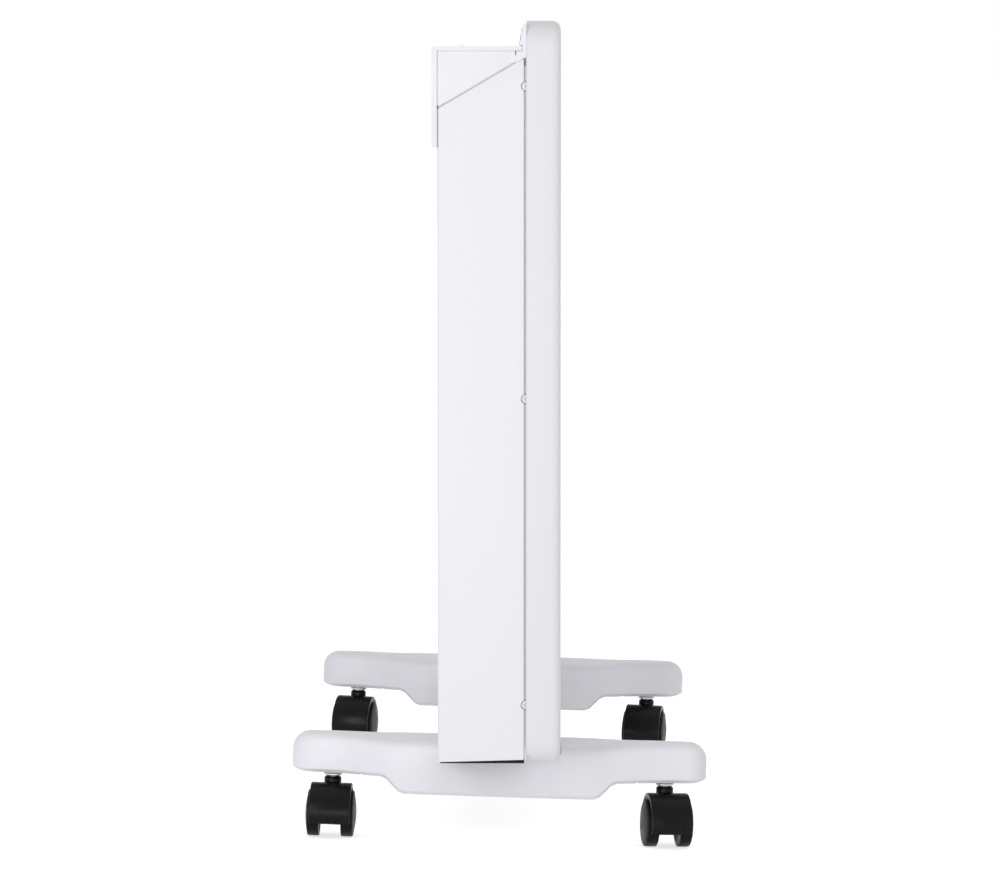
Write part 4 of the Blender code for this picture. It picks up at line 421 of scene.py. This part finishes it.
for part in frame["record"]["subparts"]:
    node_name, slot_name = part["node"], part["material_slot"]
    # The front panel gets the enamel darkened as painted shade
    finish = PANEL_SHADED if node_name == "front_panel" else BY_SLOT[slot_name]
    dress(node_name, finish, edge_radius(node_name, slot_name))


# Fine pieces: helpers

def piece_from(shape, name, made, place=None):
    """Turns a bmesh into an object with smooth shading, at a place in the row frame."""
    bmesh.ops.remove_doubles(shape, verts=shape.verts, dist=AXIS_LIMIT)
    bmesh.ops.recalc_face_normals(shape, faces=shape.faces)
    mesh = bpy.data.meshes.new(name)
    shape.to_mesh(mesh)
    shape.free()
    if place is not None:
        mesh.transform(place)
    mesh.materials.append(made)
    mesh.shade_smooth()
    mesh.set_sharp_from_angle(angle=SHARP_ANGLE)
    piece = bpy.data.objects.new(name, mesh)
    bpy.context.scene.collection.objects.link(piece)
    return piece


def soften(piece, radius):
    """Rounds the sharp edges of a piece."""
    soft = piece.modifiers.new("edges", "BEVEL")
    soft.width = radius
    soft.segments = 2
    soft.limit_method = "ANGLE"
    soft.angle_limit = SHARP_ANGLE
    soft.harden_normals = True


def lathe(profile, segments):
    """The solid that a profile of (radius, height) makes when it turns about Z."""
    shape = bmesh.new()
    rings = []
    for radius, height in profile:
        count = 1 if radius < AXIS_LIMIT else segments
        turns = [math.tau * k / segments for k in range(count)]
        rings.append([shape.verts.new((radius * math.cos(turn), radius * math.sin(turn), height))
                      for turn in turns])
    for low, high in zip(rings, rings[1:]):
        for k in range(segments):
            corners = (low[k % len(low)], low[(k + 1) % segments % len(low)],
                       high[(k + 1) % segments % len(high)], high[k % len(high)])
            kept = list(dict.fromkeys(corners))
            if len(kept) > 2:
                shape.faces.new(kept)
    return shape


def prism(outline, low, high):
    """The solid between two heights over a flat outline of (x, y)."""
    shape = bmesh.new()
    floor = [shape.verts.new((x, y, low)) for x, y in outline]
    roof = [shape.verts.new((x, y, high)) for x, y in outline]
    shape.faces.new(floor)
    shape.faces.new(roof)
    for k in range(len(outline)):
        after = (k + 1) % len(outline)
        shape.faces.new((floor[k], floor[after], roof[after], roof[k]))
    return shape


def block(x, y, z):
    """A box between pairs of coordinates."""
    return prism([(x[0], y[0]), (x[1], y[0]), (x[1], y[1]), (x[0], y[1])], *z)


def combined(piece, other, operation):
    """Changes a piece's mesh by another object, which is used up."""
    change = piece.modifiers.new("change", "BOOLEAN")
    change.operation = operation
    change.solver = "EXACT"
    change.object = other
    bpy.context.view_layer.update()
    mesh = bpy.data.meshes.new_from_object(piece.evaluated_get(bpy.context.evaluated_depsgraph_get()))
    piece.modifiers.clear()
    old = piece.data
    piece.data = mesh
    bpy.data.meshes.remove(old)
    bpy.data.objects.remove(other)
    mesh.shade_smooth()
    mesh.set_sharp_from_angle(angle=SHARP_ANGLE)


def rides(piece, body, slot, *replaced):
    """Gives a piece its body and hides the nodes that it replaces; slot is not used."""
    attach(piece, body)
    if replaced:
        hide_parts(*replaced)


# Fine pieces: casters

def wheel_profile():
    """A wheel's section, from bore to hub cap, as (radius, distance from the caster's middle)."""
    inner, outer, rim, radius, bore = WHEEL_INNER, WHEEL_OUTER, WHEEL_RIM, WHEEL_RADIUS, WHEEL_BORE
    inside = [(0.0, WHEEL_BORE_END), (bore, WHEEL_BORE_END), (bore, inner + 0.0016), (0.0040, inner + 0.0016),
              (0.0042, inner + 0.0015), (0.0104, inner + 0.0003), (0.0108, inner)]
    tread = [(radius - 0.0003, inner), (radius - 0.0001, inner + 0.0001), (radius, inner + 0.0003),
             (radius, rim - 0.0009), (radius - 0.00008, rim - 0.0006), (radius - 0.0003, rim - 0.0003),
             (radius - 0.0006, rim - 0.0001), (radius - 0.0009, rim)]
    groove = [(0.0121, rim + 0.00002), (0.0119, rim - 0.0002), (0.0116, rim - 0.0002), (0.0114, rim + 0.0001)]
    dome = [(r, outer - (outer - rim - 0.0001) * (r / DOME_RADIUS) ** 2)
            for r in (0.0110, 0.0095, 0.0080, 0.0065, 0.0050)]
    cap = [(0.0036, outer - 0.00012), (0.0034, outer - 0.0003), (0.0031, outer - 0.0003),
           (0.0029, outer - 0.0001), (0.0020, outer), (0.0, outer)]
    return inside + tread + groove + dome + cap


def axle_frame(place):
    """The middle of a caster's axle, and the direction along it towards wheel a."""
    joint = next(j for j in frame["joints"] if j["name"] == "roll_" + place + "_a")
    middle, axis = Vector(joint["pos_m"]), Vector(joint["axis"])
    low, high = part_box("caster_wheel_" + place + "_a")
    side = axis if axis.dot((low + high) / 2 - middle) > 0 else -axis
    return middle, side.normalized()


def caster_section(outline, half):
    """A plate across the caster, from an outline of (distance along the trail, height)."""
    shape = prism(outline, -half, half)
    bmesh.ops.transform(shape, matrix=Matrix.Rotation(math.pi / 2, 4, "X"), verts=shape.verts)
    return shape


def round_axle(radius, start, end, steps):
    """An arc about the axle as (distance along the trail, height), by angles from the top."""
    turns = [start + (end - start) * k / steps for k in range(steps + 1)]
    return [(CASTER_TRAIL + radius * math.sin(turn), WHEEL_RADIUS + radius * math.cos(turn))
            for turn in turns]


def fender():
    """The curved guard over both wheels, swept with rounded edges."""
    inner, outer = HOOD_RADII
    half, edge = HOOD_HALF_WIDTH, HOOD_EDGE
    section = [(inner, -half + 0.0003), (inner + 0.0003, -half), (outer - edge, -half)]
    section += [(outer - edge + edge * math.sin(a), -half + edge - edge * math.cos(a))
                for a in (math.radians(22.5), math.radians(45), math.radians(67.5), math.radians(90))]
    section += [(r, -y) for r, y in reversed(section)]
    shape = bmesh.new()
    rings = []
    start, end = HOOD_ANGLES
    for k in range(HOOD_STEPS + 1):
        turn = start + (end - start) * k / HOOD_STEPS
        along, up = math.sin(turn), math.cos(turn)
        rings.append([shape.verts.new((CASTER_TRAIL + r * along, y, WHEEL_RADIUS + r * up))
                      for r, y in section])
    for low, high in zip(rings, rings[1:]):
        for k in range(len(section)):
            after = (k + 1) % len(section)
            shape.faces.new((low[k], low[after], high[after], high[k]))
    shape.faces.new(rings[0])
    shape.faces.new(rings[-1])
    return shape


def hood(place, stem, yaw):
    """Guard, web and neck as one moulding, bored for the stem's pin and for the axle."""
    inner, outer = HOOD_RADII
    start, end = HOOD_ANGLES[0] + WEB_SETBACK, HOOD_ANGLES[1] - WEB_SETBACK
    piece = piece_from(fender(), "hood_moulding_" + place, BLACK)
    web = round_axle((inner + outer) / 2, start, end, 32)
    web += round_axle(WEB_HUB, WEB_HUB_START, math.tau + start, 24)
    combined(piece, piece_from(caster_section(web, WEB_HALF), "web", BLACK), "UNION")
    top, radius = NECK_TOP, NECK_RADIUS
    neck = [(0.0, NECK_FOOT), (radius, NECK_FOOT), (radius, top - 0.0010), (radius - 0.0002, top - 0.0006),
            (radius - 0.0006, top - 0.0002), (radius - 0.0010, top), (0.0, top)]
    combined(piece, piece_from(lathe(neck, 48), "neck", BLACK), "UNION")
    pin = PIN_RADIUS + PIN_CLEARANCE
    bore = [(0.0, PIN_FLOOR), (pin, PIN_FLOOR), (pin, top - 0.0003), (pin + 0.0004, top + 0.0005),
            (0.0, top + 0.0005)]
    combined(piece, piece_from(lathe(bore, 32), "bore", BLACK), "DIFFERENCE")
    across = lathe([(0.0, -OVERRUN), (AXLE_RADIUS, -OVERRUN), (AXLE_RADIUS, OVERRUN), (0.0, OVERRUN)], 24)
    lay = Matrix.Translation((CASTER_TRAIL, 0.0, WHEEL_RADIUS)) @ Matrix.Rotation(math.pi / 2, 4, "X")
    combined(piece, piece_from(across, "axle_hole", BLACK, lay), "DIFFERENCE")
    piece.data.transform(Matrix.Translation((stem[0], stem[1], 0.0)) @ Matrix.Rotation(yaw, 4, "Z"))
    soften(piece, HOOD_SOFT_EDGE)
    rides(piece, "caster_" + place, "black_plastic", "caster_hood_" + place)


# Pin with its ring groove, flange and socket part of a stem
STEM_PROFILE = [
    (0.0, 0.0188), (0.0024, 0.0188), (0.0029, 0.0193), (0.003, 0.0198), (0.003, 0.0208), (0.0026, 0.0211),
    (0.0026, 0.0219), (0.003, 0.0222), (0.003, 0.0338), (0.0039, 0.0338), (0.00515, 0.0342),
    (0.0053, 0.03435), (0.0053, 0.0351), (0.00515, 0.03527), (0.0046, 0.0353), (0.00435, 0.03535),
    (0.0043, 0.0355), (0.0043, 0.0363), (0.0039, 0.0363), (0.0039, 0.0492), (0.0034, 0.0498), (0.0, 0.0498),
]


def caster(place):
    """Hood, stem and wheels of one caster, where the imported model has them."""
    swivel = next(j for j in frame["joints"] if j["name"] == "swivel_" + place)
    stem = Vector(swivel["pos_m"])
    middle, side = axle_frame(place)
    trail = middle - stem
    hood(place, stem, math.atan2(trail.y, trail.x))
    piece = piece_from(lathe(STEM_PROFILE, 56), "stem_turning_" + place, ZINC,
                       Matrix.Translation((stem.x, stem.y, 0.0)))
    rides(piece, "heater_body", "zinc", "caster_stem_" + place)
    for letter, way in (("a", side), ("b", -side)):
        wheel = place + "_" + letter
        lay = Matrix.Translation(middle) @ way.to_track_quat("Z", "Y").to_matrix().to_4x4()
        piece = piece_from(lathe(wheel_profile(), WHEEL_STEPS), "wheel_moulding_" + wheel, WHEEL, lay)
        rides(piece, "wheel_" + wheel, "wheel", "caster_wheel_" + wheel)


for caster_place in ("left_rear", "left_front", "right_rear", "right_front"):
    caster(caster_place)


# Fine pieces: screws

def cross(half_width, reach, depth, top):
    """A tapered cross that cuts the recess of a screw."""
    w, r = half_width, reach
    outline = [(w, w), (w, r), (-w, r), (-w, w), (-r, w), (-r, -w),
               (-w, -w), (-w, -r), (w, -r), (w, -w), (r, -w), (r, w)]
    shape = prism(outline, top - depth, top + depth)
    for vert in shape.verts:
        if vert.co.z < top:
            vert.co.x *= RECESS_TAPER
            vert.co.y *= RECESS_TAPER
    return shape


def screw(name, node, profile, recess, place, made):
    """A turned screw with a cross recess, its head upwards along Z before it is laid in place."""
    piece = piece_from(lathe(profile, 40), name, made)
    combined(piece, piece_from(cross(*recess), "recess", made), "DIFFERENCE")
    piece.data.transform(place)
    rides(piece, "heater_body", "zinc", node)


# Tip, shank and round head as (radius, height)
SIDE_SCREW = [
    (0.0, -0.0060), (0.0011, -0.0060), (0.0014, -0.0055), (0.0014, 0.0), (0.0026, 0.0),
    (0.00268, 0.0001), (0.00268, 0.0004), (0.0025, 0.0007), (0.0021, 0.00093), (0.0016, 0.0011),
    (0.0010, 0.00118), (0.0, 0.0012),
]
# Tip, shank and flat head as (radius, distance from the head's outer face)
FOOT_SCREW = [
    (0.0, 0.0181), (0.0013, 0.0181), (0.0017, 0.0172), (0.0017, 0.0035), (0.0040, 0.0035), (0.0042, 0.0033),
    (0.0042, 0.0008), (0.0040, 0.0004), (0.0034, 0.0001), (0.0026, 0.0), (0.0, 0.0),
]


def side_screws(end, way):
    """The three screws in the seam at one end of the body."""
    turned_out = Matrix.Rotation(way * math.pi / 2, 4, "Y")
    x, y = SIDE_SCREW_PLACE
    for count, height in enumerate(SIDE_SCREW_HEIGHTS, 1):
        lay = LEANT @ Matrix.Translation((way * x, y, height)) @ turned_out
        screw(f"side_screw_head_{end}_{count}", f"side_screw_{end}_{count}",
              SIDE_SCREW, SIDE_RECESS, lay, ENAMEL)


def foot_screws(end, way):
    """The two screws that hold a foot, heads down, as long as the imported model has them."""
    for side in ("front", "rear"):
        node = f"foot_screw_{end}_{side}"
        low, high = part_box(node)
        longer = high.z - low.z - FOOT_SCREW_LENGTH
        profile = [(radius, -height if height < FOOT_SCREW_HEAD else -height - longer)
                   for radius, height in FOOT_SCREW]
        place = Matrix.Translation((way * FOOT_SCREW_X, (low.y + high.y) / 2, low.z))
        lay = place @ Matrix.Rotation(math.pi, 4, "X")
        screw(f"foot_screw_turning_{end}_{side}", node, profile, FOOT_RECESS, lay, ZINC)


for end_name, end_way in (("left", -1), ("right", 1)):
    side_screws(end_name, end_way)
for end_name, end_way in (("left", -1), ("right", 1)):
    foot_screws(end_name, end_way)


# Fine pieces: body

def side_plate(name, outline, x, slot, made, edge=0.0):
    """A plate that stands across the width, from an outline of (y, z) in the upright frame."""
    shape = prism(outline, *x)
    turn = Matrix(((0, 0, 1, 0), (1, 0, 0, 0), (0, 1, 0, 0), (0, 0, 0, 1)))
    piece = piece_from(shape, name, made, LEANT @ turn)
    if edge:
        soften(piece, edge)
    rides(piece, "heater_body", slot)


def slope_z(y):
    """The height of the casing's sloping top."""
    return SLOPE_TOP_Z - (y - SLOPE_FRONT_Y) * SLOPE_FALL / SLOPE_RUN


# End plates of the louvre: small teeth at the tips of the slats, and grey plates behind the gaps between these as
# painted shade
TIPS = [(-0.0114, 0.4518), (-0.0114, 0.4533), (-0.0108, 0.4535), (-0.0111, 0.4544), (-0.0118, 0.4546),
        (-0.0122, 0.4576), (-0.0116, 0.4578), (-0.0119, 0.4593), (-0.0126, 0.4595), (-0.0129, 0.4615),
        (-0.0124, 0.4618), (-0.0132, 0.4632), (-0.0141, 0.4640), (-0.01505, 0.4640), (-0.01505, 0.4450),
        (-0.0136, 0.4449)]
GAPS = [(-0.0111, 0.4519), (-0.0114, 0.4545), (-0.0119, 0.4577), (-0.0122, 0.4594), (-0.0127, 0.4617),
        (-0.0140, 0.4625), (-0.0140, 0.4519)]
LEFT_END = [(-0.0089, slope_z(-0.0089) - 0.0003), (-0.0089, 0.4462), (-0.0094, 0.4466), (-0.0094, 0.4487),
            (-0.0127, 0.4487), (-0.0127, 0.4518), *TIPS]
RIGHT_END = [(-0.0102, slope_z(-0.0102) - 0.0003), (-0.0102, 0.4490), *TIPS]
side_plate("grille_end_left", LEFT_END, (-0.31946, -0.3168), "white_plastic", WHITE, 0.0001)
side_plate("grille_end_right", RIGHT_END, (0.3168, 0.31946), "white_plastic", WHITE, 0.0001)
# Grey plates behind the gaps between the teeth: painted shade of the louvre's hollows
side_plate("grille_gap_shade_left", GAPS, (-0.3188, -0.3169), "white_plastic", PAINTED_SHADE_GREY)
side_plate("grille_gap_shade_right", GAPS, (0.3169, 0.3188), "white_plastic", PAINTED_SHADE_GREY)

# Seam between panel and casing: the casing's inward flange, interrupted at the screws
for end_name, end_way in (("left", -1), ("right", 1)):
    for part_count, (part_low, part_high) in enumerate(FLANGE_SPANS, 1):
        y_front, y_rear = FLANGE_Y
        side_plate(f"seam_flange_{end_name}_{part_count}",
                   [(y_front, part_low), (y_rear, part_low), (y_rear, part_high), (y_front, part_high)],
                   sorted(end_way * x for x in FLANGE_X), "enamel", ENAMEL)

# Control box: tongues that close its joints
TONGUES = {
    "rear": (-0.3189, [(0.03403, 0.4186), (0.03457, 0.4186), (0.03457, 0.4487), (0.03403, 0.4487)]),
    "low": (-0.3189, [(0.03433, 0.3962), (0.03457, 0.3962), (0.03457, 0.4184), (0.03433, 0.4166)]),
    "slope": (-0.31895, [(-0.0088, slope_z(-0.0088) + 0.00005), (0.0340, slope_z(0.0340) + 0.00005),
                         (0.0340, slope_z(0.0340) + 0.00055), (-0.0088, slope_z(-0.0088) + 0.00055)]),
    "top": (-0.3187, [(-0.0088, 0.44862), (0.0338, 0.44862), (0.0338, 0.44888), (-0.0088, 0.44888)]),
}
for tongue_name, (tongue_start, tongue_outline) in TONGUES.items():
    side_plate("box_tongue_" + tongue_name, tongue_outline, (tongue_start, TONGUE_END),
               "white_plastic", WHITE)


# Fine pieces: printing

def printed(name, body, faces, node, place):
    """Ink on a node: flat faces of (x, y) points, laid on its surface from above and INK thick."""
    tree = BVHTree.FromObject(NODES[node], bpy.context.evaluated_depsgraph_get())
    down = LEANT.to_3x3() @ Vector((0.0, 0.0, -1.0))
    shape = bmesh.new()
    for outline in faces:
        layers = []
        for lift in (INK, -INK):
            layer = []
            for x, y in outline:
                above = LEANT @ Vector((place[0] + x, place[1] + y, PRINT_START_Z))
                hit = tree.ray_cast(above, down)[0]
                layer.append(shape.verts.new(hit - down * lift))
            layers.append(layer)
        top, under = layers
        shape.faces.new(top)
        shape.faces.new(list(reversed(under)))
        for k in range(len(top)):
            after = (k + 1) % len(top)
            shape.faces.new((top[k], under[k], under[after], top[after]))
    piece = piece_from(shape, name, INKED)
    rides(piece, body, "white_plastic")


def bar(x, y, half_width, half_length, turn=0.0):
    """A straight stroke as four points."""
    c, s = math.cos(turn), math.sin(turn)
    corners = ((-half_width, -half_length), (half_width, -half_length), (half_width, half_length),
               (-half_width, half_length))
    return [(x + a * c - b * s, y + a * s + b * c) for a, b in corners]


def ring_strokes(x, y, radius, width, steps=24):
    """A ring as short quads."""
    inner, outer = radius - width / 2, radius + width / 2
    quads = []
    for k in range(steps):
        start, end = math.tau * k / steps, math.tau * (k + 1) / steps
        corners = ((outer, start), (outer, end), (inner, end), (inner, start))
        quads.append([(x + r * math.cos(turn), y + r * math.sin(turn)) for r, turn in corners])
    return quads


# Strokes of the dial's figures on a grid of 2 by 4
FIGURES = {
    "0": [(0, 0, 2, 0), (2, 0, 2, 4), (2, 4, 0, 4), (0, 4, 0, 0)],
    "1": [(1, 0, 1, 4), (0, 3, 1, 4)],
    "2": [(0, 4, 2, 4), (2, 4, 2, 2), (2, 2, 0, 2), (0, 2, 0, 0), (0, 0, 2, 0)],
    "3": [(0, 4, 2, 4), (2, 4, 2, 0), (0, 2, 2, 2), (0, 0, 2, 0)],
    "4": [(0, 4, 0, 2), (0, 2, 2, 2), (2, 4, 2, 0)],
    "5": [(2, 4, 0, 4), (0, 4, 0, 2), (0, 2, 2, 2), (2, 2, 2, 0), (2, 0, 0, 0)],
    "6": [(2, 4, 0, 4), (0, 4, 0, 0), (0, 0, 2, 0), (2, 0, 2, 2), (2, 2, 0, 2)],
}


def figure(sign, x, y):
    """A figure of straight strokes, its middle at a place."""
    strokes = []
    for x0, y0, x1, y1 in FIGURES[sign]:
        across, along = (x1 - x0) * FIGURE_CELL, (y1 - y0) * FIGURE_CELL
        half_length = math.hypot(across, along) / 2 + FIGURE_STROKE_HALF
        strokes.append(bar(x + ((x0 + x1) / 2 - 1) * FIGURE_CELL, y + ((y0 + y1) / 2 - 2) * FIGURE_CELL,
                           FIGURE_STROKE_HALF, half_length, math.atan2(along, across) - math.pi / 2))
    return strokes


def dial_strokes():
    """A tick and a figure for each step of the dial."""
    strokes = []
    for step in range(DIAL_STEPS):
        turn = math.radians(90 - DIAL_STEP * step)
        c, s = math.cos(turn), math.sin(turn)
        strokes.append(bar(TICK_RADIUS * c, TICK_RADIUS * s, FIGURE_STROKE_HALF, TICK_HALF,
                           turn - math.pi / 2))
        strokes += figure(str(step), FIGURE_RADIUS * c, FIGURE_RADIUS * s)
    return strokes


printed("dial_print", "heater_body", dial_strokes(), "control_cover", KNOB_PLACE)
for level, (rocker_name, rocker_x) in enumerate(ROCKERS.items(), 1):
    power_bars = [bar(POWER_BAR_PITCH * (k - (level - 1) / 2), 0.0, STROKE_HALF, POWER_BAR_HALF)
                  for k in range(level)]
    printed("power_print_" + rocker_name, "heater_body", power_bars, "control_cover",
            (rocker_x, POWER_PRINT_Y))
    marks = [bar(0.0, MARK_REACH, STROKE_HALF, MARK_SIZE),
             *ring_strokes(0.0, -MARK_REACH, MARK_SIZE, 2 * STROKE_HALF)]
    printed("rocker_print_" + rocker_name, "rocker_" + rocker_name, marks, "power_rocker_" + rocker_name,
            (rocker_x, ROCKER_Y))

pointer = piece_from(block(*POINTER), "knob_pointer", INKED, LEANT)
rides(pointer, "knob", "white_plastic")


# Floor, light and camera

def seen_directly(tree):
    """1 for camera, glossy and transmission rays, which show the backdrop, and 0 for light on the object."""
    path = tree.nodes.new("ShaderNodeLightPath")
    total = path.outputs["Is Camera Ray"]
    for name in ("Is Glossy Ray", "Is Transmission Ray"):
        either = tree.nodes.new("ShaderNodeMath")
        either.operation = "MAXIMUM"
        tree.links.new(total, either.inputs[0])
        tree.links.new(path.outputs[name], either.inputs[1])
        total = either.outputs["Value"]
    return total


def floor_material():
    """A pale floor that looks white where no shadow lies on it."""
    made = bpy.data.materials.new("floor_white")
    made.use_nodes = True
    tree = made.node_tree
    shader = tree.nodes["Principled BSDF"]
    shader.inputs["Base Color"].default_value = (FLOOR_TONE, FLOOR_TONE, FLOOR_TONE, 1.0)
    shader.inputs["Roughness"].default_value = 0.9
    shader.inputs["Specular IOR Level"].default_value = 0.0
    shader.inputs["Emission Color"].default_value = (1.0, 1.0, 1.0, 1.0)
    glow = spread(tree, seen_directly(tree), FLOOR_LIGHT, FLOOR_GLOW)
    tree.links.new(glow, shader.inputs["Emission Strength"])
    return made


bpy.ops.mesh.primitive_plane_add(size=FLOOR_SIZE, location=(0.0, 0.0, 0.0))
floor = bpy.context.object
floor.name = "floor"
floor.data.materials.append(floor_material())

world = bpy.data.worlds.new("studio")
bpy.context.scene.world = world
world.use_nodes = True
sky = world.node_tree.nodes["Background"]
sky.inputs["Color"].default_value = (1.0, 1.0, 1.0, 1.0)
sky_strength = spread(world.node_tree, seen_directly(world.node_tree), WORLD_LIGHT, 1.0)
world.node_tree.links.new(sky_strength, sky.inputs["Strength"])


def soft_box(name, place, target, size, power):
    """A rectangular lamp that faces its target."""
    lamp = bpy.data.lights.new(name, "AREA")
    lamp.shape = "RECTANGLE"
    lamp.size, lamp.size_y = size
    lamp.energy = power
    made = bpy.data.objects.new(name, lamp)
    bpy.context.scene.collection.objects.link(made)
    made.location = place
    made.rotation_euler = (Vector(target) - Vector(place)).to_track_quat("-Z", "Y").to_euler()


for lamp_facts in LAMPS:
    soft_box(*lamp_facts)

camera_data = bpy.data.cameras.new("camera")
camera_data.lens = CAMERA_LENS
camera_data.sensor_width = SENSOR_WIDTH
camera_data.clip_start = 0.05
camera_data.clip_end = 100.0
camera = bpy.data.objects.new("camera", camera_data)
bpy.context.scene.collection.objects.link(camera)
direction = Vector((math.cos(CAMERA_YAW) * math.cos(CAMERA_PITCH),
                    math.sin(CAMERA_YAW) * math.cos(CAMERA_PITCH),
                    math.sin(CAMERA_PITCH)))
upright = Matrix.Translation(CAMERA_PLACE) @ direction.to_track_quat("-Z", "Y").to_matrix().to_4x4()
camera.matrix_world = LEANT @ upright
bpy.context.scene.camera = camera
bpy.context.scene.view_settings.view_transform = "Standard"
